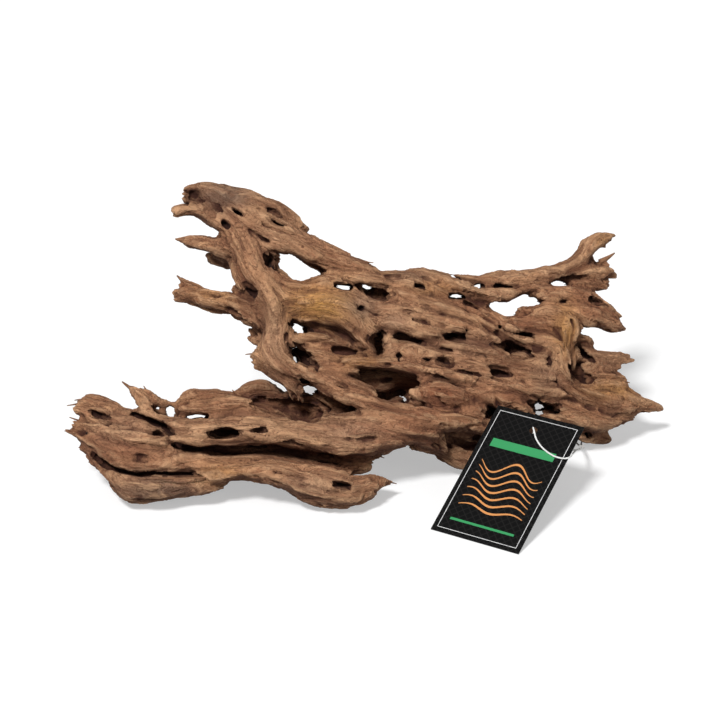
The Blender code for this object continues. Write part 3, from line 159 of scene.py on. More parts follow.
# The tag stands on its lower edge and leans back on the wood.
TAG_FOOT_MM = (40.5, -29.3)
TAG_TURN = math.radians(-30.2)
TAG_SIZE = (0.058, 0.0953, 0.0006)
TAG_LEAN = math.radians(28.0)
TAG_HOLE_DIAMETER = 0.005
TAG_HOLE_FROM_TOP = 0.011
TAG_HOLE_SIDES = 48
TAG_EDGE_ROUNDING = 0.22            # of its thickness
TAG_LATTICE = 0.0052
CARD_CLEARANCE = 0.0004             # the wood is pressed back this far behind the card
CARD_MARGIN = 0.002
CARD_REACH = 0.01
LOOP_DIAMETER = 0.001
LOOP_SIDES = 12
LOOP_STEP = 0.0008

# The print, in millimetres on the card's face.
PRINT_LIFT = 0.00001
PRINT_LEFT = 8.0
PRINT_RIGHT = 50.0
BORDER_INSET = 3.0
BORDER_LINE = 0.35
BANDS = [(66.0, 72.0), (10.0, 11.6)]
WAVES = 7
WAVE_FOOT = 22.0
WAVE_SPACING = 5.2
WAVE_RISE = 1.7                     # of the lowest wave, and how much more each next one has
WAVE_RISE_GAIN = 0.5
WAVE_TURNS = 1.5
WAVE_LAG = 0.07                     # of a turn, from one wave to the next
WAVE_LINE = 1.5
WAVE_TIP = 0.35                     # how wide a line is at its ends, of its width
WAVE_STEPS = 48

# The lights: heading, and how wide the sun is.
KEY_LIGHT = ((0.35, 0.62, -1.0), math.radians(12.0))
FILL_LIGHT = ((-0.9, 0.7, -0.6), math.radians(40.0))
FLOOR_HEIGHT = -0.0002
SENSOR_WIDTH = 36.0
WHITE = (1.0, 1.0, 1.0)

# The lower log, its left end first.
LOG_STRANDS = [
    # belly that the left end rests on
    [(-158, 24, 0, 2.5, 7), (-147, 17, -2, 7, 13), (-134, 10.5, -4.5, 9, 16),
     (-119, 10.5, -4, 8, 16), (-105, 11.5, -2, 6, 15), (-92, 11.5, 0, 5, 12), (-83, 14, 4, 2, 6)],
    # layers that fan out to the left end's tips
    [(-180.5, 45.3, 2, 1, 1.5), (-174, 44, 1, 2.6, 3.5), (-164, 40, -2, 4.5, 6),
     (-150, 33, -5, 7, 9), (-134, 28.5, -6, 8.5, 12), (-116, 27, -5, 7.5, 13), (-98, 26, -4, 5.5, 12)],
    [(-174.5, 51, 2, 0.8, 1.5), (-168, 48.3, 0, 2.5, 3.5), (-156, 43, -3, 5.5, 7),
     (-142, 38.5, -6, 7, 10), (-126, 36, -6, 7.5, 12), (-112, 34, -3, 6, 12)],
    [(-171, 57, 6, 1.8, 3), (-163, 54.5, 3, 3.6, 5), (-150, 50, -1, 5.5, 7),
     (-136, 46, -4, 7, 9), (-122, 42.5, -4, 7, 10), (-110, 40, 2, 5, 10)],
    [(-170.5, 62, 9, 1.5, 3), (-164, 62.5, 7, 4, 5), (-154, 60.3, 5, 4.5, 6),
     (-144, 54.5, 3, 4.5, 7), (-132, 50, 0, 5.5, 9), (-120, 47, 0, 5.5, 10)],
    [(-153, 61.5, 5, 3, 4), (-147.2, 62.2, 6, 0.7, 1)],
    [(-171, 35.5, 4, 1.2, 2), (-163, 32, 2, 4, 6), (-152, 25.5, 0, 6, 9), (-140, 21, -1, 6, 11)],
    [(-166.3, 26, 3, 0.8, 1.2), (-159, 24.5, 2, 2.8, 5), (-150, 20, 0, 5, 8)],
    # horn and the rim behind it
    [(-143, 73.3, 10, 0.6, 0.8), (-139, 70.5, 9, 1.8, 2.2), (-134.5, 66.5, 7, 3.3, 4),
     (-130, 60, 4, 4.2, 6), (-124.5, 53, 0, 4, 7), (-116, 48, -3, 3.5, 7)],
    [(-132, 68.5, 9, 1.8, 3), (-128.5, 66.5, 9, 3, 4), (-124, 62.3, 10, 2.6, 4),
     (-117, 60.8, 12, 1.6, 3), (-110, 61.2, 12, 2, 4), (-103, 63.5, 12, 5.2, 6),
     (-94, 64, 12, 5.8, 7), (-84, 63, 12, 5.5, 8), (-74, 62.5, 12, 4, 8)],
    [(-112, 56.5, 8, 2.2, 5), (-100, 58, 8, 3, 7), (-86, 57, 8, 5, 9), (-70, 57.5, 8, 5.5, 10),
     (-56, 56.5, 8, 4, 9), (-46, 53.5, 8, 3, 7), (-36, 49, 8, 2.5, 6)],
    # the arm, which hangs over the long slot and runs on into the body's front lobe
    [(-126, 47, -3, 3.5, 8), (-116, 45.5, -6, 6.5, 12), (-102, 43.5, -8, 8.8, 14),
     (-84, 44, -8, 8.5, 14), (-64, 44.5, -8, 8.3, 14), (-44, 43.5, -7, 8.3, 14),
     (-24, 40.5, -5, 10.5, 15), (-4, 40, -3, 11.5, 16), (16, 43, -2, 10.5, 16),
     (32, 43.5, -1, 8, 14), (42, 38.5, -2, 5.5, 10), (50, 31.8, -2, 1.6, 3)],
    # the wall at the back of the long slot, with a claw at its right end
    [(-118, 33, 6, 8, 14), (-95, 32, 8, 8, 14), (-70, 31.5, 8, 8, 14), (-45, 30, 8, 8.5, 14),
     (-22, 27, 8, 8, 13), (-8, 24.5, 9, 6, 10), (2, 24, 10, 3, 6)],
    [(-8, 30, 4, 4, 8), (4, 30, 5, 3.2, 6), (9, 29.5, 6, 1.8, 3), (12, 28.6, 6, 0.8, 1)],
    # front plates under the slot and the lobe that the right end rests on
    [(-112, 26.5, -7, 5, 10), (-96, 26, -8, 5.3, 9), (-80, 26.3, -9, 4.2, 9),
     (-66, 26.5, -9, 3.2, 8), (-57.5, 27, -8, 1.3, 3)],
    [(-98, 18.5, -6, 2.5, 7), (-89, 17.6, -9, 4.4, 9), (-77, 19, -10, 4, 9),
     (-67, 20.3, -10, 3.2, 7), (-61.5, 21.5, -9, 1.5, 3)],
    [(-100, 21, -2, 6, 14), (-80, 22, -4, 6.5, 15), (-62, 21, -5, 7, 16), (-46, 17.5, -7, 7.5, 16),
     (-31, 13, -8, 10.5, 16), (-16, 9.7, -9, 11.2, 16), (-4, 9.5, -8, 9, 13),
     (7, 13.3, -5, 5.3, 8), (19.5, 13.4, -2, 0.9, 1.5)],
    # back of the log
    [(-152, 34, 10, 6, 8), (-130, 36, 14, 11, 13), (-105, 40, 16, 13, 14), (-80, 42, 18, 13, 14),
     (-50, 42, 18, 12, 14), (-20, 42, 20, 12, 14), (5, 46, 20, 10, 14)],
    # far rim of the trough
    [(-82, 62, 16, 3.5, 8), (-73, 65, 18, 4, 7), (-66, 67.5, 18, 5.5, 8), (-59, 68, 18, 6, 8),
     (-52, 64.5, 18, 5.5, 8), (-44, 62.5, 18, 4.5, 8), (-34, 62, 20, 4, 8), (-24, 62, 20, 5, 8),
     (-14, 62, 18, 5, 8)],
]

# The upper-left limb and its prongs.
LEFT_LIMB_STRANDS = [
    [(-106.5, 190, 4, 1.3, 2), (-100, 190, 4, 3, 4.5), (-92, 188.7, 4, 5.2, 7), (-80, 184, 4, 6, 8),
     (-66, 181.5, 4, 6, 9), (-53, 176.3, 4, 5.3, 9), (-43, 169.5, 3, 5, 8), (-34.5, 164.6, 2, 2.3, 4)],
    [(-96, 183, 6, 4, 6), (-84, 179, 4, 6.5, 9), (-70, 174, 3, 7, 10), (-57, 168, 2, 8, 10),
     (-44, 161.3, 2, 8, 10), (-30, 152.8, 2, 7.4, 10), (-16, 146.5, 2, 6.5, 9), (-4, 142, 2, 5.5, 9),
     (8, 138, 1, 4, 8)],
    [(-12, 147.5, 0, 2.5, 5), (-4, 146.5, 0, 1.7, 3), (5.5, 145.8, 0, 0.6, 1)],
    [(-70, 169, 0, 6, 9), (-60, 162.5, -1, 8.5, 9), (-49, 158.5, -1, 7.5, 9), (-39, 155.5, -1, 5.5, 8),
     (-28, 149.5, 0, 5, 8)],
    [(-89, 182, 4, 4, 7), (-82, 173.5, 2, 7.5, 10), (-73.5, 163.5, 0, 8.5, 11),
     (-70.5, 152, -1, 9.5, 12), (-68, 142, -1, 9.3, 13), (-66, 131, 2, 10, 13)],
    # second prong from the top
    [(-111.8, 175.6, 4, 2.6, 3), (-106, 176.6, 4, 3.2, 4.5), (-98, 176.3, 4, 4.2, 6),
     (-91, 173, 3, 5.5, 7), (-85, 168.5, 2, 4.5, 7), (-80, 166, 1, 4, 7)],
    [(-94, 174, 5, 3, 5), (-88.5, 168.7, 5, 3, 5)],
    # spear-shaped prong and the curled stub under it
    [(-111.3, 159.2, 6, 0.6, 1), (-106.5, 158.2, 5, 2.4, 3), (-99, 157.2, 4, 4.4, 5),
     (-91, 156.3, 3, 4.8, 6.5), (-83, 154.5, 1, 5.5, 8), (-74, 152, 0, 6, 9)],
    [(-91.5, 149.5, 16, 2.6, 4), (-86, 148.3, 15, 4.3, 6), (-77, 147, 12, 5.3, 8), (-68, 146, 8, 5, 8)],
    # lower-left prong, its horn and its small tip
    [(-111.8, 126.3, 6, 4.3, 4.5), (-104, 125.8, 5, 4.8, 6.5), (-96, 124.3, 4, 6, 8),
     (-87, 122.5, 3, 6.3, 9), (-78, 121, 2, 6.5, 10), (-70, 118.5, 2, 8.2, 11), (-60, 115, 2, 9, 12),
     (-52, 110, 2, 8, 12)],
    [(-111, 137.2, 8, 0.8, 1), (-107, 134, 7, 2, 2.8), (-102, 130.5, 6, 3, 4), (-94, 127, 5, 3.5, 5)],
    [(-112.8, 122.3, 5, 0.8, 1.5), (-107, 123.5, 5, 2.2, 4)],
]

# The body, front layer.
BODY_STRANDS = [
    # broad sheets that join the strands on the left
    [(-74, 162, 2, 10, 9), (-68, 150, 1, 12, 10), (-61, 138, 0, 14, 10), (-52, 127, -1, 15, 10),
     (-40, 122, -1, 14, 10), (-26, 124, -1, 12, 10), (-14, 124, 0, 10, 10)],
    [(-56, 119, 0, 12, 9), (-51.5, 107, 0, 7.5, 9), (-52, 97, 0, 7.5, 9), (-52, 88, 0, 9, 9),
     (-43, 79.5, 0, 6.5, 8), (-31, 75, -2, 5, 7)],
    [(-50, 100.5, 0, 3, 7), (-38, 99.3, 0, 2.8, 7), (-27, 98, 1, 4, 7)],
    [(-42, 117, -3, 7, 9), (-28, 118, -4, 9.5, 9), (-14, 117.5, -4, 9.5, 9), (-3, 113, -4, 9, 9),
     (4, 106, -4, 7, 9)],
    [(-24, 113, -4, 5, 9), (-13, 110, -4, 7, 9), (-4, 104, -4, 8, 9), (3, 98, -4, 5.5, 8),
     (7, 93, -3, 2.5, 6)],
    # left edge, down to the prongs over the log
    [(-66, 139, -3, 9, 9), (-58, 131, -4, 10, 9), (-52, 121, -4, 11, 9), (-52, 110, -4, 7.5, 8),
     (-54.5, 100, -3, 5, 7), (-54.5, 91, -4, 5.5, 7), (-46, 83, -4, 6, 7), (-34, 78.5, -5, 5, 7),
     (-18, 75, -6, 4.5, 7), (-5, 70.5, -7, 4, 7), (7, 66.5, -7, 3, 6)],
    [(-46, 124, -5, 7, 9), (-46.5, 112, -4, 6, 8), (-48, 101, -3, 5, 7), (-48, 91, -3, 4.5, 7),
     (-41, 82, -4, 4.5, 7), (-28, 76, -6, 4, 7)],
    [(-68.6, 90.3, 4, 0.8, 1.2), (-64, 90, 3, 2.4, 3), (-58, 88.5, 2, 4.6, 6), (-50, 85, 0, 5, 8)],
    [(-62, 122, 2, 8, 9), (-52, 110, 2, 8, 10), (-51, 98, 2, 7, 9), (-49, 88, 2, 7, 9),
     (-38, 80, 2, 6, 9)],
    [(-65.3, 83, 4, 0.7, 1.2), (-60, 82.4, 3, 2.4, 3.5), (-53, 79.5, 2, 4, 6), (-46.5, 75.3, 2, 4.3, 7),
     (-41.5, 70, 3, 4.6, 7), (-40, 64, 6, 4.5, 7), (-38, 59, 10, 4, 7)],
    [(-67.5, 103.2, 14, 3, 4), (-63, 101.5, 13, 5, 6), (-56, 100, 10, 5, 8)],
    # under the big hole, and on along the top edge to the right
    [(-58, 131, 2, 8, 13), (-46, 128, -1, 8.3, 13), (-35, 126, -2, 8.3, 13), (-24, 129, -2, 8.3, 13),
     (-14, 131.5, 0, 7, 12)],
    [(-60, 123, 0, 8, 12), (-46, 119, -1, 9, 12), (-32, 121, -2, 9, 12), (-18, 124, -2, 9, 12),
     (-6, 122, -1, 8, 12)],
    [(-22, 139, 4, 3, 7), (-12, 138.5, 3, 4.5, 8), (0, 137, 2, 4.5, 9), (12, 135.5, 1, 5.3, 10),
     (24, 134, 0, 6, 11), (37, 130.5, 0, 5.5, 11), (49, 125.5, -1, 5, 11), (61, 119, -1, 5.5, 11),
     (72, 113, -1, 5.5, 11), (83, 106, -2, 6, 12), (94, 99.5, -2, 5, 12), (104, 95, -1, 5, 12)],
    [(25.5, 140, 3, 1.2, 2.5), (34, 138, 3, 3.8, 7), (46, 134.5, 2, 5, 9), (58, 130.5, 2, 4.8, 9),
     (68, 127, 2, 4.5, 9), (78, 123.5, 2, 4, 8)],
    # grey strand, knot ledge and the wall in their shade
    [(-22, 134, 2, 4, 10), (-12, 128.5, 0, 6, 11), (-3, 122, -1, 6.5, 11.5), (1, 114.5, -2, 6.5, 11),
     (2, 107, -4, 6.5, 9.5), (1, 100, -5, 5.5, 8), (3.5, 94.5, -5, 2, 4)],
    [(-43, 119, -6, 4, 6), (-35, 119, -9, 8, 7), (-25, 119, -10.5, 9.5, 7), (-15, 117, -10.5, 9.5, 7),
     (-7, 112, -9.5, 8.5, 7), (-3, 105, -8, 6, 7)],
    [(-36, 101, 6, 9, 12), (-24, 95, 5, 11, 12), (-12, 93, 7, 9, 12), (0, 88, 8, 7, 12)],
    [(-34, 84, 2, 4, 9), (-24, 84, 1, 5, 10), (-14, 81, 0, 5, 10), (-6, 78, 0, 4, 9)],
    [(17, 103, -3, 3, 8), (17.5, 95, -4, 2.8, 7), (15, 88, -5, 3, 7)],
    # three bands of the broad plate right of the middle
    [(16, 127.5, -2, 4, 8), (27, 124.5, -3, 6, 12), (40, 119.5, -3, 6, 12), (54, 114.5, -2, 5.5, 12),
     (66, 110, -2, 5.5, 12), (77, 104, -2, 6, 12)],
    [(5, 118, -4, 4, 5), (14, 117.5, -5, 5.5, 10), (28, 114.5, -5, 6, 12), (43, 109.5, -4, 6.5, 12),
     (56, 106.5, -3, 5, 12), (66, 101, -2, 5, 12), (78, 96, -2, 5, 12)],
    [(4.5, 110, -5, 3, 5), (14, 109.5, -6, 4.5, 9), (28, 107, -6, 5.5, 11), (41, 102.5, -6, 5.5, 11),
     (50, 100.5, -5, 3.5, 9)],
    # bands under the plate
    [(20, 98, 0, 2.5, 8), (32, 96, -1, 4, 10), (46, 95.5, -2, 5, 12), (60, 94, -3, 6.5, 13),
     (75, 91.5, -3, 7, 14), (90, 88, -2, 7, 14), (106, 86, -3, 7, 14)],
    [(14, 91, -2, 3.5, 8), (24, 92.5, -3, 6, 11), (36, 89.5, -3, 6.5, 12), (48, 86.5, -2, 5, 12),
     (62, 84.5, -3, 5.5, 13), (78, 82.5, -3, 6, 13), (94, 80, -3, 6.5, 14), (110, 77.5, -3, 7, 14)],
    # finger stub and the band that it belongs to
    [(-11.5, 85.3, -8, 2.3, 3), (-5, 86, -8, 3.2, 4.5), (6, 85.7, -7, 3.7, 6), (17, 84.5, -6, 4.5, 9),
     (30, 82, -5, 5.5, 11), (45, 79, -5, 6, 12), (60, 77, -5, 6, 12), (76, 73.5, -5, 6.5, 13),
     (92, 69.5, -5, 7, 13), (107, 68, -4, 6, 13), (120, 66, -3, 5, 12)],
    # bands over the arm
    [(-34, 73.5, 2, 2.5, 7), (-24, 70.5, 0, 3.5, 8), (-12, 66.5, -4, 4.5, 10), (0, 62.5, -6, 5, 12),
     (12, 57, -7, 5.5, 13), (26, 53.5, -7, 6, 14), (42, 51.5, -7, 6, 14), (56, 50.5, -6, 5.5, 13),
     (67, 48, -5, 5.5, 12), (74, 47, -4, 4, 9)],
    [(-22, 52, -4, 3, 8), (-8, 50.5, -5, 5, 12), (8, 50, -6, 6, 14), (24, 47, -6, 6, 14),
     (36, 45.5, -6, 5, 13), (44, 43, -5, 4, 10)],
    # burl and what runs past it
    [(31, 68, -7, 3, 6), (38, 67.5, -9, 6.5, 10), (47, 66.5, -10, 8.5, 12), (56, 64.5, -9, 6.8, 11),
     (63, 62, -7, 3.5, 8)],
    [(60, 70, -4, 5, 12), (74, 66, -5, 5.5, 13), (88, 62.5, -4, 5, 13), (98, 58, -4, 4, 11)],
    [(56, 57, -5, 5, 12), (66, 56, -6, 6, 12), (72, 52, -5, 5, 10), (77, 48, -4, 3, 8)],
    [(78, 48, -2.6, 5, 10), (92, 49, -3.4, 6, 12), (108, 49.5, -2, 6.5, 12), (122, 49, 2, 6, 11)],
]

# The right end with its limb, prongs and tail.
RIGHT_STRANDS = [
    [(46, 138.8, 8, 1.2, 2.5), (56, 136.8, 8, 1.5, 3.5), (66, 134.8, 8, 2.4, 5), (76, 134, 7, 4.5, 7),
     (86, 133.5, 6, 6.8, 8), (96, 133.5, 6, 7.2, 9), (106, 136, 6, 6.5, 9), (116, 138.5, 6, 5.8, 9),
     (125, 142.5, 6, 6, 9), (132.5, 149.5, 6, 5.5, 8), (136, 155.5, 6, 6, 8), (143, 159, 6, 4.9, 6.5),
     (149.5, 159.8, 6, 3.6, 5)],
    [(143, 157, 6, 3, 4), (145.5, 153.5, 6, 1.6, 2)],
    [(126, 137, 6, 5, 8), (135, 139.5, 6, 5.5, 8), (143, 140.3, 6, 4.5, 7), (149, 138.5, 6, 3, 5),
     (151, 137.5, 6, 1.8, 3)],
    [(137, 143.5, 8, 2, 3), (144, 146.2, 8, 1.6, 2), (151.3, 151, 8, 0.6, 0.8)],
    [(124, 131, 6, 4, 8), (134, 131.5, 6, 3.5, 7), (142, 131.3, 6, 3.2, 5), (148, 130.5, 6, 1.4, 2.5)],
    [(66, 127.5, 4, 3.5, 8), (78, 127, 4, 5.5, 9), (90, 128, 4, 4.5, 9), (101, 131, 4, 3, 8)],
    [(100, 132, 2, 3, 8), (112, 129.5, 0, 3.2, 9), (124, 127.5, -2, 4.5, 11), (135, 123.5, -3, 5.5, 11),
     (145, 117, -3, 5, 10), (153, 111, -2, 3.5, 6)],
    # broad sheets of the right end
    [(94, 109, 0, 6, 10), (106, 107, -1, 9, 11), (115, 101, -1.5, 10.5, 12), (116, 91, -1.5, 10, 13),
     (116, 81, -1, 9, 13)],
    [(104, 124, 1, 5, 10), (117, 121.5, -1, 9, 11), (130, 118.5, -1.5, 10, 11),
     (142, 113.5, -1.5, 7.5, 10), (151, 109.5, -1, 5, 8)],
    # big prong and the wood that it grows from
    [(112, 118, 0, 4, 10), (122, 116.5, -2, 6.5, 12), (132, 115, -4, 8, 13), (142, 112, -4, 6, 11),
     (150, 108.3, -3, 4.8, 8), (156.5, 106.3, -2, 2.8, 5)],
    [(100, 113, 0, 4, 10), (110, 113.5, -3, 6.5, 12), (120, 111, -4, 7, 13), (122.5, 104, -5, 7.5, 12),
     (120.5, 96, -5, 7, 12), (119, 88, -5, 7, 12)],
    [(78, 110.5, 0, 2, 7), (88, 108.7, -1, 3, 9), (100, 108, -2, 5, 11), (112, 106.5, -3, 6, 12)],
    [(93.5, 116.5, -1, 1.2, 4), (101, 116, -1, 3, 8), (110, 116, -2, 4, 10)],
    # down the right side and out along the tail
    [(98, 98, -1, 4, 12), (108, 97.5, -3, 7, 14), (117, 92, -4, 8.5, 15), (119, 82, -4, 8, 15),
     (122, 73, -4, 7, 14), (131, 66.5, -4, 6.5, 13), (144, 63.5, -3, 6.5, 12), (156, 61, -1, 7, 10),
     (167, 58.8, 0, 4.6, 7), (176, 58.3, 1, 2.9, 4), (181.3, 57, 2, 0.9, 1.2)],
    [(124, 98.5, -2, 3.5, 8), (131, 99, -3, 3.2, 6), (137, 97, -3, 2, 3.5), (140.5, 94.8, -3, 0.6, 1)],
    [(124, 90, 2, 4, 9), (134, 90, 2, 4.5, 8), (144, 88.3, 2, 4.4, 7), (154, 87.8, 2, 3.6, 5.5),
     (162.3, 87.8, 2, 2.2, 3)],
    [(132, 82, 0, 5, 9), (142, 81.5, 0, 5, 8), (150, 81.5, 1, 3, 5), (155, 82, 1, 0.8, 1.5)],
    [(136, 76, -2, 5, 9), (147, 77, -1, 3.8, 7), (155, 76.5, 0, 2, 3), (160.5, 76, 0, 0.8, 1.2)],
    [(138, 70, -3, 5, 9), (150, 70.5, -2, 5, 8), (160, 69, -1, 2.8, 4), (165, 65, 0, 1.5, 2.5)],
    # under the tail
    [(104, 62, -2, 6, 13), (118, 58.5, -2, 6.5, 13), (131, 54, -2, 7.5, 13), (143, 50.5, -1, 6.5, 11),
     (153, 50.5, 0, 3.8, 7), (161, 51, 1, 1.6, 3)],
    [(112, 50, 4, 5, 11), (122, 46, 6, 5, 9), (130, 44, 6, 5.3, 7), (136, 42.3, 9, 5.2, 6.5),
     (141, 41, 15, 4.6, 7), (146, 39.5, 18, 3.4, 6), (149.5, 38.8, 18, 1.8, 3)],
]

# The body's back layer, the back of the log, the foot on the right and the leg at the back.
BACK_STRANDS = [
    # back of the upper-left limb and of the top edge
    [(-86, 176, 10, 6, 6), (-70, 167, 11, 8, 7), (-55, 161, 12, 7, 7), (-42, 156, 12, 5, 7),
     (-30, 150, 13, 6, 7), (-18, 143, 13, 7, 7), (-4, 137, 13, 7, 8), (10, 131, 13, 8, 8)],
    [(-70, 142, 8, 6, 8), (-58, 134, 12, 7, 8), (-46, 127, 14, 6, 8), (-34, 127, 15, 6, 8),
     (-22, 130, 14, 6, 8), (-10, 133, 12, 5, 8), (4, 133, 12, 5, 8), (20, 132, 12, 6, 8),
     (36, 134, 10, 5, 8), (50, 131, 9, 4, 7)],
    # down the left side and across under the knot
    [(-62, 124, 12, 8, 9), (-51, 112, 14, 7, 9), (-51, 100, 13, 6, 9), (-47, 90, 12, 6, 8),
     (-37, 79, 12, 6, 8), (-24, 70, 14, 6, 8), (-12, 63, 14, 7, 9), (2, 57, 14, 8, 9)],
    [(-56, 118, 15, 7, 8), (-42, 116, 17, 6, 8), (-28, 118, 18, 6, 8), (-14, 122, 17, 7, 8),
     (2, 124, 15, 7, 8), (16, 121, 15, 7, 8), (32, 124, 13, 6, 8), (46, 120, 13, 6, 8),
     (62, 112, 13, 7, 8), (78, 106, 13, 7, 8), (92, 104, 13, 6, 8)],
    [(-30, 104, 18, 6, 7), (-14, 106, 19, 7, 8), (2, 110, 18, 7, 8), (18, 112, 16, 7, 9),
     (34, 108, 15, 6, 9), (50, 104, 15, 6, 9), (66, 101, 15, 6, 9), (80, 97, 15, 6, 9)],
    [(-26, 94, 17, 6, 8), (-10, 92, 19, 6, 8), (6, 96, 18, 7, 8), (22, 100, 16, 6, 9),
     (38, 95, 15, 6, 9), (54, 92, 15, 6, 9), (70, 90, 15, 7, 9), (86, 94, 15, 6, 9),
     (100, 100, 14, 6, 9), (112, 107, 12, 6, 8), (126, 112, 10, 6, 8)],
    [(-34, 78, 12, 5, 8), (-16, 82, 15, 5, 8), (0, 84, 17, 6, 8), (16, 87, 17, 6, 9),
     (32, 85, 16, 6, 9), (48, 82, 15, 6, 9), (64, 84, 15, 6, 9), (80, 82, 15, 6, 9),
     (96, 84, 15, 6, 9), (110, 90, 13, 7, 9), (120, 98, 12, 6, 8)],
    [(-22, 66, 14, 5, 8), (-8, 70, 16, 6, 8), (8, 74, 17, 7, 9), (24, 76, 17, 6, 9),
     (40, 73, 16, 6, 9), (56, 70, 16, 7, 9), (72, 74, 16, 6, 9), (88, 72, 16, 7, 9),
     (104, 74, 15, 7, 9), (118, 78, 13, 6, 8), (130, 84, 9, 5, 7)],
    [(-14, 56, 14, 7, 9), (2, 55, 16, 7, 9), (16, 58, 17, 5, 9), (34, 62, 17, 6, 9),
     (50, 60, 17, 7, 9), (66, 60, 17, 7, 10), (82, 62, 17, 6, 9), (96, 65, 16, 5, 9),
     (110, 65, 15, 5, 9), (124, 66, 13, 7, 9), (138, 64, 11, 7, 9), (152, 60, 8, 6, 8)],
    [(0, 46, 14, 8, 9), (18, 46, 16, 7, 9), (36, 46, 17, 7, 10), (54, 48, 18, 8, 10),
     (70, 50, 18, 7, 10), (86, 50, 18, 7, 9), (102, 50, 16, 6, 9), (118, 54, 14, 6, 9),
     (134, 54, 11, 6, 9), (146, 52, 8, 5, 8)],
    [(60, 122, 10, 5, 8), (76, 127, 10, 5, 8), (92, 132, 11, 5, 7), (108, 137, 11, 5, 7),
     (122, 141, 10, 5, 7)],
    # behind the trough
    [(-62, 56, 22, 5, 7), (-46, 56, 22, 6, 8), (-30, 56, 23, 6, 8), (-14, 58, 22, 6, 8)],
    # back of the log
    [(-150, 30, 10, 5, 8), (-128, 26, 12, 8, 12), (-100, 28, 16, 9, 13), (-70, 28, 18, 9, 13),
     (-40, 28, 18, 9, 13), (-14, 30, 16, 8, 12)],
    [(-142, 48, 10, 5, 8), (-118, 50, 14, 6, 9), (-94, 52, 18, 7, 9), (-70, 54, 20, 7, 9),
     (-46, 54, 20, 7, 9), (-22, 52, 20, 6, 9)],
    # lobe under the body, in its shade
    [(30, 38.5, 10, 5, 9), (46, 37.5, 12, 8.5, 10), (60, 34.5, 12, 12, 12), (74, 33, 12, 12, 12),
     (86, 31, 12, 8, 8)],
    # root at the back, of strands that grow together towards the ground
    [(-26, 88, 14, 9, 10), (-10, 82, 27, 10, 10), (1, 72, 42, 9, 10), (8, 61, 60, 9, 9),
     (14, 52, 76, 7.5, 8), (16, 48, 82, 6, 7)],
    [(30, 84, 16, 8, 9), (25, 75, 29, 8, 9), (20, 64, 46, 7.5, 8), (19, 55, 64, 6.5, 7),
     (21, 49.5, 78, 5.5, 6)],
    [(62, 74, 17, 5, 8), (46, 68, 27, 5.5, 8), (33, 62, 42, 5, 7), (25, 55.5, 60, 4.5, 6)],
    [(2, 96, 20, 8, 8), (6, 84, 30, 8, 9), (10, 72, 46, 7, 8), (13, 62, 62, 6, 7)],
    [(6, 64, 54, 4.5, 6), (-3, 59, 62, 3.5, 4.5), (-10, 57, 68, 1.8, 2.5), (-14, 57, 71, 0.8, 1)],
    # spur under the right end, at the back
    [(130, 44.5, 8, 4, 5), (130, 46.5, 16, 2.8, 4), (130, 48.5, 26, 1.8, 3)],
]

# Through holes: the outline that light shines through and how far the front edge of the
# hole lies to the right of it and above it.
WINDOWS = [
    ([(-117.5, 52.5), (-117, 58.5), (-114.5, 58.5), (-111, 55.5), (-112.5, 53), (-115, 51.5)], (0, 0.5)),
    ([(-106, 53), (-99, 54.8), (-92, 53), (-96, 51.3), (-102, 51.3)], (0, 1.4)),
    ([(-35, 70.5), (-31, 71), (-26, 68.5), (-28, 66.5), (-29, 65), (-31, 65.5), (-34, 68)], (0, 1)),
    ([(-44.3, 108.3), (-42.5, 110.4), (-38, 110), (-33.8, 107.6), (-32.2, 103.3), (-34.6, 101.8),
      (-39.2, 102.8), (-43.1, 105.2)], (0, 2)),
    ([(-44.5, 95), (-42.5, 97), (-38, 96.8), (-35.8, 95.4), (-38.6, 93.8), (-42.4, 93.5)], (0, 1)),
    ([(-43.6, 90.6), (-40.7, 90.3), (-38, 87), (-37.6, 84), (-40.6, 84.6), (-43, 87.8)], (0.5, 0)),
    ([(-52, 148.5), (-48, 149.7), (-41, 148.7), (-35, 146.5), (-29, 142.7), (-22.5, 137.6),
      (-29, 136.2), (-36, 134), (-41, 135.3), (-47, 138.6), (-49.5, 140.3), (-53.5, 139.3),
      (-52, 143)], (-1, 3.5)),
    ([(-18.5, 131.8), (-12, 132.5), (-5.6, 131.3), (-6, 128.7), (-12, 128.6)], (0, 1.5)),
    ([(-2.3, 132.3), (3, 132.8), (7.3, 131), (6, 128.9), (1, 129.2)], (0, 1.5)),
    ([(51.5, 137.8), (54, 138), (59, 135.2), (58, 134.2), (54, 135.3)], (0, 0)),
    ([(-50.5, 133.9), (-48, 134), (-45.5, 131.8), (-46.5, 131), (-49, 132)], (-1, 1.5)),
    ([(51.8, 126), (54, 127.1), (59, 126.8), (61.6, 125), (60, 123.8), (53, 124.3)], (0, 0)),
    ([(62.5, 131), (66, 131.2), (68.5, 132), (72, 132.4), (71.8, 129.5), (70, 127.6), (68, 128.8),
      (64, 129.6)], (-1, 2.5)),
    ([(111.5, 132), (114, 134), (119, 134.5), (124, 133.5), (124.2, 131.5), (120, 130.6),
      (114, 131)], (0, 2)),
    ([(80, 117.5), (83, 121), (86, 122.8), (89, 121.3), (95, 123.3), (101, 125.2), (105, 124.6),
      (108, 122.3), (106.5, 119.8), (99, 119), (92.5, 117), (94.3, 114), (91, 112), (86, 112),
      (80.5, 114)], (1, 2.5)),
    ([(22.3, 65), (24, 66.2), (26.5, 64.8), (27, 62.6), (30.5, 61.8), (28.5, 60.8), (24.5, 62)], (0, 0)),
    ([(103, 62), (106, 62.5), (108.5, 60), (108.5, 57.6), (104.5, 57.6), (103.5, 59.5)], (0, 0.5)),
    ([(103, 55.3), (106, 56.3), (110, 56), (109.5, 53.2), (105, 52.9)], (0, 0)),
]

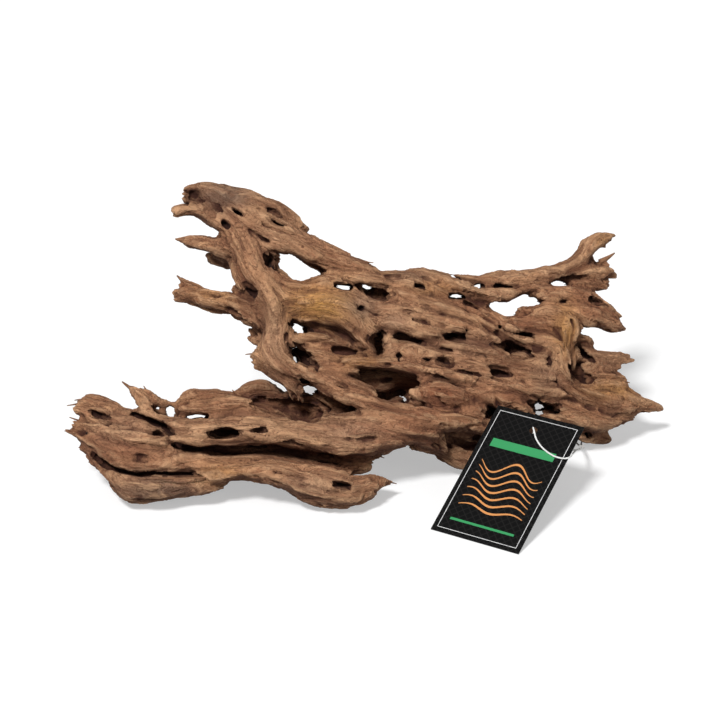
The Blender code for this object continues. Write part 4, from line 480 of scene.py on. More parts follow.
# Hollows, pits and undercuts that don't go through, as strands of missing wood.
HOLLOWS = [
    # on the log
    [(-124, 61, 0, 1.6, 8), (-122.5, 57.5, -2, 3.4, 12), (-119.5, 53.5, -2, 2, 10)],
    [(-124.5, 44.5, -14, 1, 6), (-122, 42.8, -14, 1.8, 8), (-119.5, 41, -14, 0.9, 6)],
    [(-92, 43, -18, 1.4, 8), (-87, 43, -18, 3.2, 14), (-80, 43.3, -18, 3.2, 14), (-73, 43.8, -18, 1.3, 6)],
    [(-164, 56.3, -2, 1, 4), (-159, 54.5, -3, 2.3, 7), (-153, 52.3, -4, 1.2, 5)],
    [(-116, 37, -14, 1, 8), (-105, 33.6, -14, 2, 14), (-90, 33, -14, 2.9, 17), (-70, 33, -14, 3.9, 18),
     (-50, 32.3, -14, 4.6, 18), (-35, 29.5, -13, 4.3, 18), (-20, 26.3, -12, 4, 18),
     (-5, 24, -11, 4.6, 15), (6, 25, -10, 3.8, 12)],
    [(-18.5, 13, -22, 1.2, 5), (-12, 11.8, -22, 2.2, 9), (-6, 10.5, -20, 1.2, 5)],
    [(-137, 19.3, -20, 1, 6), (-126, 18.6, -20, 1.8, 12), (-112, 18.4, -20, 2.4, 14),
     (-99, 18.6, -18, 2, 12)],
    # trough and its pits
    [(-68, 61.5, 4, 1.6, 9), (-56, 60, 2, 4.6, 15), (-44, 57.5, 0, 6.4, 19), (-32, 54.5, 0, 8.2, 21),
     (-21, 56, 2, 5.4, 16)],
    [(-19, 59.5, 0, 3, 10), (-11, 58.5, -2, 3, 10)],
    [(-6, 59.5, -6, 2, 9), (-3, 56, -6, 2, 9)],
    # on the upper-left limb
    [(-56, 150, -6, 3, 12), (-56, 144, -6, 3.2, 12)],
    [(-56, 172, -7, 1.6, 6), (-52, 169, -7, 2.2, 8), (-45, 166.5, -7, 1.4, 4)],
    [(-83.5, 170, -8, 1.6, 6), (-81, 167.3, -8, 1.8, 7)],
    [(-101.5, 185.6, -6, 2.2, 6), (-99, 184.2, -6, 3.4, 9), (-97, 182, -6, 2.4, 7)],
    [(-78, 177.5, -6, 1, 5), (-74, 175, -6, 1.5, 10), (-71, 173, -6, 1, 8)],
    # cup at the root of the lower-left prong
    [(-76, 129.5, -15, 2.5, 6), (-70, 129.5, -15, 4.6, 10), (-64.5, 126.5, -14, 3.6, 11),
     (-62.5, 123.5, -13, 1.6, 9)],
    # left of the middle
    [(-42, 93, -8, 2, 13), (-38, 91.5, -8, 4.4, 19), (-34.5, 88, -8, 5.4, 19), (-31, 84, -8, 3, 14)],
    [(-37, 109, -10, 1.2, 5), (-26, 107.6, -14, 2, 9), (-17, 105.6, -15, 2.8, 12), (-9, 101, -14, 3, 12),
     (-2, 95.5, -12, 2, 9)],
    [(-29, 84, -9, 1.6, 7), (-25.5, 81, -9, 1.8, 7)],
    [(-38, 76.8, -8, 1, 6), (-35, 75, -8, 1.6, 8), (-31.5, 71.8, -8, 1.2, 7)],
    [(-18, 93, -8, 2, 8), (-8, 91.8, -10, 2.8, 10), (0, 91, -10, 1.6, 8)],
    # in and around the broad plate
    [(4.5, 124.5, -12, 1.3, 8), (10, 126, -14, 2.8, 13), (17, 127, -14, 3, 13)],
    [(-3, 119, -14, 1.8, 5), (2, 118, -14, 2.2, 6)],
    [(31, 131.5, -12, 1.7, 8), (35, 131, -12, 2, 10), (38, 129.5, -12, 1, 6)],
    [(30.5, 111.5, -18, 0.9, 6), (36, 110.8, -18, 1.3, 8), (42, 108.8, -18, 0.8, 4)],
    [(50, 101, -15, 1.3, 8), (56, 102.5, -15, 2.5, 13), (62, 103, -15, 2.3, 12), (62.5, 106, -14, 1.2, 8)],
    [(19, 101, -14, 1, 8), (30, 98.7, -14, 1.6, 10), (41, 96, -14, 1, 7)],
    [(6, 103, -12, 2.5, 10), (10, 98, -12, 4.3, 13), (11, 92, -12, 3, 11)],
    [(22, 90.7, -15, 1.5, 8), (23, 88, -15, 1.6, 8)],
    [(37.8, 88.2, -16, 1.7, 8), (39.8, 85.3, -16, 1.5, 8)],
    [(44, 88.5, -15, 1.2, 5), (50, 86, -16, 3, 8), (54, 83, -16, 1.2, 5)],
    # lower middle
    [(-5, 78.5, -10, 1.5, 6), (3, 77.5, -13, 3, 13), (12, 76.5, -14, 4.2, 17), (20, 75.5, -14, 3.8, 16)],
    [(12, 74, -14, 2.5, 14), (7.5, 69.5, -14, 1.8, 12)],
    [(10, 64.5, -12, 1.8, 10), (17, 64, -14, 4.2, 18), (25, 63.5, -14, 4, 18), (31, 63, -14, 1.6, 10)],
    [(73, 55, -14, 3, 10), (79, 53.5, -14, 4.5, 14), (84, 53, -12, 2, 8)],
    [(50, 40.5, -11, 1.6, 8), (57, 38.5, -10, 4, 13), (66, 36, -10, 5, 14), (77, 35, -8, 3.5, 11)],
    # right
    [(80, 108, -13, 0.9, 6), (89, 103.7, -13, 1.2, 7), (97, 101.8, -14, 2.4, 12), (104, 100.8, -13, 1.4, 8)],
    [(79, 96.5, -15, 1, 6), (84.5, 95.5, -16, 3, 12), (91, 93, -16, 6.2, 17), (98, 91, -16, 5, 15),
     (103, 88, -15, 1.6, 7)],
    [(77, 79.5, -17, 1, 6), (83, 78.7, -17, 2.3, 10), (89, 77.5, -16, 1, 6)],
    [(101, 58.5, -14, 2.5, 10), (107, 58, -14, 4.5, 14), (115, 56, -13, 3.5, 12), (118.5, 53.5, -12, 1.3, 6)],
    [(133.5, 42, 2, 2, 7), (136, 41.3, 2, 2, 7)],
    [(127, 95.5, -8, 1.5, 8), (131, 92.5, -7, 2.6, 10), (136, 88, -6, 2.2, 9), (138.5, 84.5, -6, 1, 5)],
    [(123.5, 86, -15, 2, 7), (127, 80.5, -15, 4.4, 12), (132, 75, -15, 4.2, 12), (139, 71.5, -14, 2.4, 8)],
    [(129, 106.5, -10, 1.2, 9), (134, 103.5, -8, 2, 10), (140, 102.5, -6, 2, 10), (148, 104.5, -6, 1.4, 8)],
    [(80, 131.8, -2, 1.1, 6), (85, 131.3, -2, 1.5, 8), (89, 130.6, -2, 1, 5)],
    [(136, 124, -12, 1, 6), (140, 122, -12, 1.4, 7), (144.5, 120.8, -11, 0.8, 4)],
    # in the back
    [(-26, 126, 27, 4, 7), (-6, 120, 28, 5, 8), (10, 116, 27, 3, 6)],
    [(44, 110, 27, 3, 6), (62, 104, 27, 5, 8), (80, 98, 27, 3.5, 7)],
    [(-24, 90, 28, 3, 6), (-6, 90, 28, 5, 8), (8, 92, 27, 3, 6)],
    [(96, 80, 28, 3.5, 7), (112, 76, 27, 4.5, 8), (124, 74, 25, 2.5, 6)],
    [(-104, 40, 33, 4, 8), (-80, 44, 35, 5.5, 10), (-58, 44, 34, 4, 8)],
]

# What stands in the hollows.
LATE_STRANDS = [
    [(-107, 190, 2, 1, 2.5), (-105.6, 186.5, 3, 1.4, 3), (-104, 183, 3, 1.5, 3), (-101, 180.5, 3, 2, 3)],
    [(-106.5, 185.5, 7.5, 3, 1.6), (-100, 184.5, 7.5, 5, 1.8), (-93, 182, 7, 5, 2)],
    [(90, 88.5, -2, 1.6, 6), (95.5, 89.5, -4, 2.8, 6), (101, 87.5, -4, 1.8, 5)],
    [(121, 86, 2, 4, 3), (127, 79, 2, 6, 3.5), (133, 74, 2, 6, 3.5), (141, 70, 2, 4, 3)],
]

# The closed loop of the tag. On the card, in millimetres along its lower edge, up its face
# and out of its face: up through the hole, down over the face and past the card's edge.
LOOP_ON_CARD = [
    (28.6, 83.2, -4.5), (28.2, 85.6, -2), (28.2, 85.7, 0.3), (28.9, 84.9, 2), (31, 82.1, 2.2),
    (34.2, 77.9, 1.6), (40.2, 73.4, 1.3), (48.1, 70.2, 1.3), (54.5, 69.7, 1.5), (58.9, 71.3, 1.9),
]
# Then, as x and h in the picture plane and depth behind it: under the wood's right end,
# round the spur at its back and back behind the card.
LOOP_TO_WOOD = [
    (128, 32.4, -4), (130.4, 33.6, 16), (131.6, 34.6, 36), (131.2, 35.6, 54), (130, 36, 62),
    (128.2, 38.2, 69), (126, 43.4, 73), (126.2, 48.8, 76), (130, 53.2, 78.5), (133.6, 48.8, 76.5),
    (133.2, 43.4, 74.2), (132.5, 39.8, 71.8), (131.6, 37, 68), (131.6, 36, 62), (132.6, 35.6, 54),
    (133, 34.6, 36), (131.6, 33.6, 22), (127, 33, 15), (118, 34.6, 13), (110, 38.4, 15), (105, 41.5, 17),
]


# Fine cracks and slits that only the finished surface has, as strands of missing wood.
FINE_CRACKS = [
    [(-159, 51, -8, 0.6, 4), (-152, 48.5, -9, 0.9, 6), (-146, 43, -10, 0.6, 4)],
    [(-147, 45, -10, 0.5, 4), (-141, 41.5, -12, 0.9, 6), (-135, 38, -13, 0.5, 4)],
    [(-166, 33, -6, 0.7, 5), (-160, 28.5, -8, 1.6, 9), (-151, 22.8, -12, 2, 11), (-141, 19, -15, 1.6, 11),
     (-128, 17.6, -19, 1.6, 10)],
    [(-170, 46, -3, 0.7, 4), (-166, 42, -4, 1, 5), (-161, 37, -6, 0.6, 4)],
    [(-139, 55.5, -4, 1, 6), (-129, 51.5, -8, 2.2, 9), (-119, 47, -11, 2.2, 9), (-112, 39, -14, 1.2, 7)],
    [(-99, 48, -20, 0.6, 4), (-96, 47.6, -20, 0.9, 5), (-93, 47.8, -20, 0.5, 3)],
    [(-73, 44, -21, 0.5, 4), (-62, 44.5, -21, 0.8, 4), (-50, 44, -20, 0.5, 3)],
    [(-44, 38.4, -19, 1, 4), (-41, 37.4, -19, 1.6, 6), (-36, 35.4, -19, 1, 5), (-30, 33, -19, 0.5, 4)],
    [(-60, 18, -20, 0.6, 5), (-50, 12.5, -22, 1, 6), (-42, 9.6, -23, 0.6, 4)],
    [(-40, 8, -23, 0.6, 4), (-28, 4.2, -24, 1, 6), (-15, 1.6, -24, 0.6, 4)],
    [(-53.5, 19.3, -21, 0.9, 5), (-51, 19.1, -21, 0.9, 5)],
    [(-55, 92, -12, 0.5, 4), (-44, 84.6, -12, 0.9, 5), (-33, 79.2, -12, 0.5, 4)],
    [(-59, 101.5, -9, 0.5, 4), (-52, 99.6, -10, 0.9, 5), (-44, 100.2, -10, 0.5, 4)],
    [(-58, 119.5, -12, 0.5, 4), (-52.5, 118.4, -13, 1, 5), (-47, 119.2, -14, 0.5, 4)],
    [(-72, 170, -9, 0.6, 4), (-66, 162, -12, 0.9, 5), (-60, 152, -12, 0.6, 4)],
    [(-42, 167, -7, 0.5, 4), (-38, 165, -8, 0.8, 4), (-34, 163, -7, 0.4, 3)],
    [(-71, 147, -12, 0.5, 4), (-68.5, 148.8, -12, 0.8, 5), (-66, 150.5, -12, 0.5, 4)],
    [(-80, 149, -6, 0.5, 4), (-75, 146, -10, 0.9, 5), (-70, 143, -12, 0.5, 4)],
    [(-64, 139, -13, 0.5, 4), (-58, 138, -14, 0.8, 5)],
    [(-92, 180, -3, 0.5, 3), (-84, 176.5, -6, 0.7, 4), (-76, 172.5, -8, 0.4, 4)],
    [(-60, 178, -6, 0.4, 3), (-52, 174, -7, 0.7, 4), (-45, 170, -6, 0.4, 3)],
    [(-12, 104.5, -16, 0.5, 4), (-20, 109, -17, 0.9, 5), (-30, 110.5, -17, 0.9, 5), (-41, 111, -14, 0.5, 4)],
    [(-6.8, 137.4, -6, 0.8, 4), (-6, 136.6, -6, 0.8, 4)],
    [(42, 127.8, -13, 0.9, 5), (43, 127.2, -13, 0.9, 5)],
    [(56, 120.6, -14, 0.7, 5), (58, 119.6, -14, 1, 6), (60, 118.4, -14, 0.6, 4)],
    [(66, 119.6, -14, 0.5, 4), (71, 117.8, -14, 0.9, 6), (75, 116, -14, 0.5, 4)],
    [(31.5, 75, -15, 0.5, 4), (42, 76.4, -17, 0.8, 5), (52, 73.6, -17, 0.8, 5), (62, 69.6, -15, 0.5, 4)],
    [(38, 68, -20, 0.4, 3), (43, 62.4, -21, 0.8, 4), (51, 58, -20, 0.9, 4), (62, 59, -17, 0.5, 4)],
    [(32, 58.4, -20, 0.5, 4), (37, 56.6, -20, 0.8, 5), (42, 55, -20, 0.5, 4)],
    [(43, 51.8, -20, 0.6, 4), (47, 51.2, -20, 0.7, 4)],
    [(22, 38.5, -20, 0.6, 4), (34, 33.2, -17, 1, 6), (46, 29.4, -11, 0.6, 4)],
    [(106, 141, -4, 0.5, 4), (116, 138.5, -4, 0.9, 5), (127, 135.6, -4, 0.6, 4)],
    [(125, 139, -3, 0.6, 4), (131, 136.6, -3, 1.3, 6), (137, 132.6, -2, 0.7, 4)],
    [(59, 134.6, -6, 0.7, 4), (65, 133.8, -6, 1, 5), (71, 134.6, -4, 0.6, 4)],
    [(102, 128.6, -10, 0.6, 4), (112, 125, -12, 0.9, 5), (121, 120.6, -14, 0.5, 4)],
    [(79, 107.6, -15, 0.7, 5), (80.5, 107, -15, 0.7, 5)],
    [(144, 66, -14, 0.5, 4), (154, 64.6, -13, 0.9, 5), (164, 61.6, -8, 0.5, 3)],
    [(126, 62.4, -17, 0.5, 4), (136, 59, -16, 1, 5), (147, 56.6, -13, 0.6, 4)],
    [(150, 46.6, -10, 0.6, 4), (155, 45.4, -7, 1, 4), (160, 46, -6, 0.5, 3)],
    [(146, 161.6, -2, 0.4, 3), (141, 157, -2, 0.7, 3), (137, 151, -3, 0.4, 3)],
    [(14, 139.6, -8, 0.4, 3), (26, 137.4, -10, 0.7, 4), (38, 134, -11, 0.4, 3)],
    [(-16, 152, -8, 0.4, 3), (-26, 156.6, -8, 0.7, 4), (-38, 161.6, -8, 0.4, 3)],
    [(70, 101.6, -16, 0.4, 3), (56, 108.6, -16, 0.6, 4), (42, 113.8, -16, 0.6, 4), (28, 118.8, -16, 0.4, 3)],
    [(90, 73.6, -18, 0.4, 3), (74, 76.6, -18, 0.7, 4), (58, 81, -18, 0.4, 3)],
    [(72, 88, -17, 0.4, 3), (58, 91.4, -17, 0.7, 4), (44, 92.2, -16, 0.4, 3)],
    [(80, 67, -18, 0.4, 3), (68, 69.8, -18, 0.7, 4), (56, 74.4, -18, 0.4, 3)],
]

# Thin splinters and fibres that stand off the tips and edges.
SPLINTERS = [
    [(-177, 59.6, 8, 0.3, 0.4), (-173, 60.2, 8, 0.5, 0.6), (-168, 61, 8, 0.7, 0.8),
     (-162, 60.6, 6, 0.6, 0.8)],
    [(-175.5, 52.6, 3, 0.3, 0.4), (-171, 51, 3, 0.6, 0.7), (-165, 49, 1, 0.8, 0.9)],
    [(-172.4, 62.8, 9, 0.3, 0.4), (-169, 63.2, 9, 0.6, 0.8), (-163, 62.8, 7, 0.7, 0.9)],
    [(-144, 74, 10, 0.4, 0.5), (-141.5, 72, 10, 0.9, 1), (-137, 68.4, 9, 1.4, 1.6)],
    [(-131, 71.4, 8, 0.3, 0.4), (-129.6, 69, 8, 0.6, 0.7), (-128, 66, 9, 0.7, 0.9)],
    [(-78, 69, 9, 0.3, 0.4), (-76, 67.4, 10, 0.6, 0.7), (-73, 65.6, 11, 0.7, 0.9)],
    [(-122, 16.4, -22, 0.3, 0.4), (-112, 15.9, -23, 0.6, 0.7), (-100, 16.2, -20, 0.5, 0.6),
     (-93, 16.6, -17, 0.4, 0.5)],
    [(-111, 137.6, 8, 0.5, 0.6), (-109, 135.6, 8, 1, 1.1), (-105, 132.4, 7, 1.6, 1.8)],
    [(-112, 159.6, 5, 0.5, 0.6), (-108, 159, 4, 1, 1.2), (-102, 158.6, 3, 1.4, 1.6)],
    [(-111.6, 173, 4, 0.5, 0.6), (-109, 173.8, 4, 1, 1.1), (-104, 175, 4, 1.2, 1.4)],
    [(6.8, 145.4, -1, 0.25, 0.3), (3, 145.8, 0, 0.5, 0.6), (-2, 146.4, 0, 0.7, 0.8)],
    [(-32.4, 167, 1, 0.3, 0.4), (-34.6, 165.6, 1, 0.6, 0.7), (-38, 166.6, 1, 0.7, 0.8)],
    [(151.5, 151.2, 8, 0.5, 0.6), (148, 148.8, 8, 1.3, 1.5), (143, 146, 8, 2.2, 2.4)],
    [(163, 56.6, -3, 0.3, 0.4), (158, 58, -4, 0.6, 0.7), (151, 59.8, -6, 0.7, 0.8)],
    [(160.6, 73.4, -1, 0.3, 0.4), (156, 74.6, -1, 0.6, 0.7), (150, 75.8, -2, 0.7, 0.8)],
    [(20.8, 12.8, -1, 0.25, 0.3), (17, 13.6, -2, 0.5, 0.6), (12, 14.4, -4, 0.7, 0.8)],
    [(13.4, 28.2, 5, 0.25, 0.3), (10, 29.4, 5, 0.5, 0.6), (6, 29.8, 4, 0.6, 0.8)],
    [(-70, 90.2, 4, 0.25, 0.3), (-67, 90.6, 3, 0.5, 0.6), (-62, 90.2, 2, 0.7, 0.8)],
    [(-60, 27.4, -10, 0.3, 0.4), (-55.8, 28.2, -9, 0.3, 0.4)],
    [(51.6, 30.6, -2, 0.3, 0.4), (47.6, 33.4, -4, 0.6, 0.7), (43, 36.6, -6, 0.7, 0.9)],
]

# Patches of the wood's colour, the dark ones mostly painted shade and the pale ones partly painted highlight:
# (x, h, half width, half height, strength) in the picture plane.
PATCHES = {
    "grey_wood": [
        (-82, 186, 16, 8, 0.8), (0, 119, 9, 8, 0.7), (-122, 8, 22, 9, 0.8), (20, 109, 8, 5, 0.5),
        (-5, 42, 16, 9, 0.35), (-30, 12, 20, 6, 0.35), (-140, 44, 16, 8, 0.3), (112, 80, 9, 14, 0.35),
        (30, 137, 16, 4, 0.4), (-52, 108, 6, 18, 0.3), (60, 96, 18, 6, 0.3),
    ],
    "yellow_wood": [
        (-26, 118, 17, 11, 0.9), (123, 104, 7, 14, 0.6), (150, 69, 14, 5, 0.5), (-84, 18, 14, 6, 0.35),
        (146, 159, 6, 6, 0.35), (44, 131, 14, 5, 0.25), (0, 86, 12, 5, 0.3), (-90, 125, 14, 6, 0.25),
    ],
    "red_wood": [
        (47, 66, 20, 12, 0.75), (20, 50, 20, 8, 0.4), (-64, 152, 12, 12, 0.35), (90, 60, 20, 8, 0.35),
        (-150, 34, 16, 9, 0.35), (100, 112, 14, 8, 0.3), (-10, 26, 20, 8, 0.3), (130, 118, 14, 8, 0.3),
    ],
    # Paler wood and painted highlight on the plates that face the light.
    "pale_wood_and_highlight": [
        (-66, 45, 50, 7, 0.6), (-53, 160, 20, 12, 0.5), (-52, 98, 7, 22, 0.45), (17, 92, 4, 10, 0.5),
        (-40, 68, 7, 9, 0.5), (30, 114, 20, 8, 0.3), (-150, 50, 14, 8, 0.3), (60, 81, 26, 8, 0.25),
        (150, 88, 14, 5, 0.4), (-30, 12, 24, 7, 0.3),
    ],
    # Mostly painted shade in hollows, creases and undersides, with some darker wood.
    "dark_wood_and_shade": [
        (-88, 181, 14, 8, 0.45), (-85, 148, 10, 6, 0.8), (-67, 124, 10, 13, 0.6), (-56, 115, 8, 9, 0.4),
        (-18, 102, 16, 6, 0.6), (-36, 89, 9, 9, 0.6), (-58, 68, 17, 8, 0.55), (-32, 58, 30, 9, 0.6),
        (-50, 176, 9, 8, 0.35), (-128, 19, 30, 5, 0.6), (-122, 8, 26, 8, 0.3), (-16, 3, 30, 6, 0.5),
        (128, 148, 8, 8, 0.4), (60, 36, 18, 11, 0.7), (76, 53, 11, 7, 0.5), (153, 42, 9, 7, 0.6),
        (42, 98, 16, 3.5, 0.5), (10, 96, 8, 10, 0.5), (12, 74, 18, 9, 0.5), (20, 63, 14, 6, 0.5),
        (134, 92, 9, 9, 0.5), (131, 77, 9, 9, 0.45), (92, 93, 14, 8, 0.4), (118, 138, 14, 4, 0.4),
        (-165, 36, 14, 8, 0.35), (-56, 147, 5, 7, 0.6), (110, 57, 11, 7, 0.5), (64, 133, 8, 4, 0.4),
        (-120, 47, 6, 10, 0.45), (-60, 31, 60, 3, 0.5), (100, 40, 30, 6, 0.4),
    ],
}


def tint(name, description, default):
    """A setting for a colour."""
    return FloatVectorProperty(name=name, description=description, subtype="COLOR",
                               default=default, min=0.0, max=1.0)


def amount(name, description, default, high, low=0.0, unit="LENGTH"):
    """A setting for a size in metres, or for a plain number."""
    return FloatProperty(name=name, description=description, default=default, min=low,
                         max=high, unit=unit)


class DragonWoodSettings(PropertyGroup):
    """Sizes and colours of the wood."""

    ridge_depth: amount("Ridge Depth", "How far the ridges along the grain stand out", 0.00085, 0.002)
    furrow_depth: amount("Furrow Depth", "How deep the furrows between ridges are cut", 0.0014, 0.003)
    fibre_depth: amount("Fibre Depth", "How far single bundles of fibre stand out", 0.00048, 0.001)
    lump_depth: amount("Lump Depth", "How far uneven lumps stand out", 0.001, 0.002)
    torn_length: amount("Torn Length", "How far fibres stand out where they end", 0.0018, 0.004)
    triangles: IntProperty(
        name="Triangles", description="How many triangles the finished wood keeps",
        default=190000, min=20000, max=199000)
    brown: tint("Brown", "Colour of most of the wood", (0.3, 0.124, 0.062))
    # The tan colour is worn fibre colour and also a painted highlight on raised ridges.
    tan: tint("Tan", "Colour of raised, worn fibres", (0.76, 0.415, 0.215))
    # The dark colour is the dark between fibres, and also painted shade in creases, hollows, undersides and
    # dark patches.
    dark: tint("Dark", "Colour between the fibres", (0.07, 0.023, 0.014))
    # The hollow colour is painted shade: the wood goes to it where little of the sky is open.
    hollow: tint("Hollow", "Colour deep in the hollows", (0.012, 0.006, 0.005))
    grey: tint("Grey", "Colour of weathered patches", (0.27, 0.19, 0.135))
    yellow: tint("Yellow", "Colour of the knots", (0.62, 0.31, 0.08))
    red: tint("Red", "Colour of the reddish wood", (0.36, 0.125, 0.06))
    # The pale colour is partly paler wood and partly a painted highlight, on lit plates and on standing
    # edges.
    pale: tint("Pale", "Colour of the plates that catch the light", (0.72, 0.42, 0.235))


class DragonWoodTagSettings(PropertyGroup):
    """Colours of the tag."""

    card: tint("Card", "Colour of the card", (0.0022, 0.0022, 0.0024))
    edge: tint("Card Edge", "Colour of the card's cut edge and lattice", (0.06, 0.058, 0.055))
    green: tint("Green", "Colour of the printed bands", (0.035, 0.33, 0.11))
    gold: tint("Gold", "Colour of the printed waves", (0.72, 0.3, 0.09))
    white: tint("White", "Colour of the printed lines", (0.8, 0.8, 0.8))
    print_thickness: amount(
        "Print Thickness", "How far the print stands off the card", 0.00006, 0.0005, 0.00001)
    loop: tint("Loop", "Colour of the elastic loop", (0.86, 0.86, 0.84))


class DragonWoodStageSettings(PropertyGroup):
    """The pale floor, the light and the camera."""

    floor: tint("Floor", "Colour of the floor", (0.62, 0.62, 0.62))
    floor_glow: amount("Floor Glow", "How much the paper floor lights itself", 0.42, 1.0, unit="NONE")
    floor_size: amount("Floor Size", "Width of the floor", 8.0, 20.0, 1.0)
    key_power: amount("Key Light", "Strength of the main light", 3.1, 20.0, unit="NONE")
    fill_power: amount("Fill Light", "Strength of the light from the right", 0.35, 20.0, unit="NONE")
    sky: amount("Sky", "Strength of the light from all around", 0.22, 4.0, unit="NONE")
    focal_length: amount(
        "Focal Length", "Focal length of the camera, in millimetres", 125.0, 300.0, 20.0, "NONE")


def picture_axes():
    """The picture's right, up and away directions."""
    right = Vector((1.0, 0.0, 0.0))
    up = Vector((0.0, math.sin(VIEW_TILT), math.cos(VIEW_TILT)))
    away = Vector((0.0, math.cos(VIEW_TILT), -math.sin(VIEW_TILT)))
    return right, up, away


RIGHT, UP, AWAY = picture_axes()
SHIFT = Vector((-BOX_CENTRE_MM[0] * MM, -BOX_CENTRE_MM[1] * MM, 0.0))


def seen_at(x, h, depth):
    """A point, in metres, that the viewer sees at (x, h) and a depth further away."""
    centre_x, centre_h = PICTURE_CENTRE_MM
    spread = 1.0 + depth / VIEW_DISTANCE_MM
    point = RIGHT * (centre_x + (x - centre_x) * spread)
    point += UP * (centre_h + (h - centre_h) * spread)
    point += AWAY * depth
    return point * MM + SHIFT


def place(x, h, d):
    """A point of the wood, which leans back and sweeps back towards its right end."""
    past_start = x - SWEEP_START_MM
    sweep = SWEEP * (past_start + math.hypot(past_start, SWEEP_EASE_MM)) / 2.0
    return seen_at(x, h, d + LEAN * h + sweep)


def picture_places(points):
    """Where the viewer sees each point, as x and h in millimetres."""
    centre_x, centre_h = PICTURE_CENTRE_MM
    at = (points - np.array(SHIFT)) / MM
    spread = 1.0 + at @ np.array(AWAY) / VIEW_DISTANCE_MM
    x = centre_x + (at @ np.array(RIGHT) - centre_x) / spread
    h = centre_h + (at @ np.array(UP) - centre_h) / spread
    return x, h


def between(values, index, share):
    """Catmull-Rom value a share of the way from station index to the next."""
    last = len(values) - 1
    before = values[max(index - 1, 0)]
    start = values[index]
    end = values[min(index + 1, last)]
    after = values[min(index + 2, last)]
    result = []
    for a, b, c, d in zip(before, start, end, after):
        slope_in = (c - a) / 2.0
        slope_out = (d - b) / 2.0
        blend = (2.0 * b - 2.0 * c + slope_in + slope_out) * share ** 3
        blend += (-3.0 * b + 3.0 * c - 2.0 * slope_in - slope_out) * share ** 2
        blend += slope_in * share + b
        result.append(blend)
    return result


def smooth_row(stations):
    """The stations of a strand with more of them in between, on a smooth curve."""
    row = []
    for index, (here, there) in enumerate(zip(stations, stations[1:])):
        steps = max(2, round(math.dist(here[:3], there[:3]) / STATION_STEP_MM))
        row += [between(stations, index, step / steps) for step in range(steps)]
    return row + [list(stations[-1])]


def closed_curve(points, count_steps):
    """The points with more of them in between, on a smooth closed curve."""
    result = []
    for index in range(len(points)):
        near = [points[(index + offset) % len(points)] for offset in (-1, 0, 1, 2)]
        steps = count_steps(near[1], near[2])
        result += [between(near, 1, step / steps) for step in range(steps)]
    return result


def heading_at(centres, index):
    """The direction in which a row of points runs at one of them."""
    ahead = centres[min(index + 1, len(centres) - 1)]
    behind = centres[max(index - 1, 0)]
    return (ahead - behind).normalized()


def flattened(value, squareness):
    """A sine or cosine bent towards the corners of a squarer section."""
    return math.copysign(abs(value) ** (2.0 / squareness), value)


def bridge(mesh, rings):
    """Faces between each closed ring of vertices and the next."""
    for ring, next_ring in zip(rings, rings[1:]):
        for side in range(len(ring)):
            other = (side + 1) % len(ring)
            mesh.faces.new((ring[side], ring[other], next_ring[other], next_ring[side]))


def add_tube(mesh, centres, widths, depths, facing, squareness, sides, swell=0.0):
    """One closed tube of rounded section with domed ends; widths and depths in millimetres."""
    rings = []
    for index, centre in enumerate(centres):
        along = heading_at(centres, index)
        across = along.cross(facing).normalized()
        through = across.cross(along).normalized()
        width = (widths[index] + swell) * MM
        depth = (depths[index] + swell) * MM
        ring = []
        for side in range(sides):
            angle = 2.0 * math.pi * side / sides
            offset = across * (width * flattened(math.cos(angle), squareness))
            offset += through * (depth * flattened(math.sin(angle), squareness))
            ring.append(mesh.verts.new(centre + offset))
        rings.append(ring)
    bridge(mesh, rings)
    first_reach = (widths[0] * TIP_REACH + swell) * MM
    last_reach = (widths[-1] * TIP_REACH + swell) * MM
    start_pole = mesh.verts.new(centres[0] + (centres[0] - centres[1]).normalized() * first_reach)
    end_pole = mesh.verts.new(centres[-1] + (centres[-1] - centres[-2]).normalized() * last_reach)
    for side in range(sides):
        other = (side + 1) % sides
        mesh.faces.new((start_pole, rings[0][other], rings[0][side]))
        mesh.faces.new((end_pole, rings[-1][side], rings[-1][other]))


def add_strand(mesh, stations, squareness, swell=0.0, sides=STRAND_SIDES, least=LEAST_HALF_WIDTH_MM):
    """One strand of wood, or of missing wood, from its stations."""
    row = smooth_row(stations)
    centres = [place(*station[:3]) for station in row]
    widths = [max(station[3], least) for station in row]
    depths = [max(station[4], least) for station in row]
    add_tube(mesh, centres, widths, depths, AWAY, squareness, sides, swell)


def add_window(mesh, outline, lift):
    """A cutter along the lines of sight through an outline, wider towards the front."""
    points = closed_curve(outline, lambda start, end: WINDOW_STEPS)
    mid_x = sum(point[0] for point in points) / len(points)
    mid_h = sum(point[1] for point in points) / len(points)
    rings = []
    for depth, scale, lift_share in WINDOW_LEVELS:
        ring = []
        for x, h in points:
            ring_x = mid_x + (x - mid_x) * scale + lift[0] * lift_share
            ring_h = mid_h + (h - mid_h) * scale + lift[1] * lift_share
            ring.append(mesh.verts.new(place(ring_x, ring_h, depth)))
        rings.append(ring)
    bridge(mesh, rings)
    front = mesh.faces.new(rings[0])
    back = mesh.faces.new(rings[-1])
    bmesh.ops.triangulate(mesh, faces=[front, back])


def new_object(name, mesh, finish=None):
    """An object in the scene from a bmesh, with its faces turned outwards."""
    bmesh.ops.recalc_face_normals(mesh, faces=mesh.faces[:])
    data = bpy.data.meshes.new(name)
    mesh.to_mesh(data)
    mesh.free()
    if finish is not None:
        data.materials.append(finish)
    return add_to_scene(name, data)


def add_to_scene(name, data):
    """A new object in the scene that shows a mesh, a light or a camera."""
    result = bpy.data.objects.new(name, data)
    bpy.context.scene.collection.objects.link(result)
    return result


def window_object(windows):
    """One cutter for through holes whose flared ends don't meet."""
    mesh = bmesh.new()
    for outline, lift in windows:
        add_window(mesh, outline, lift)
    return new_object("windows", mesh)


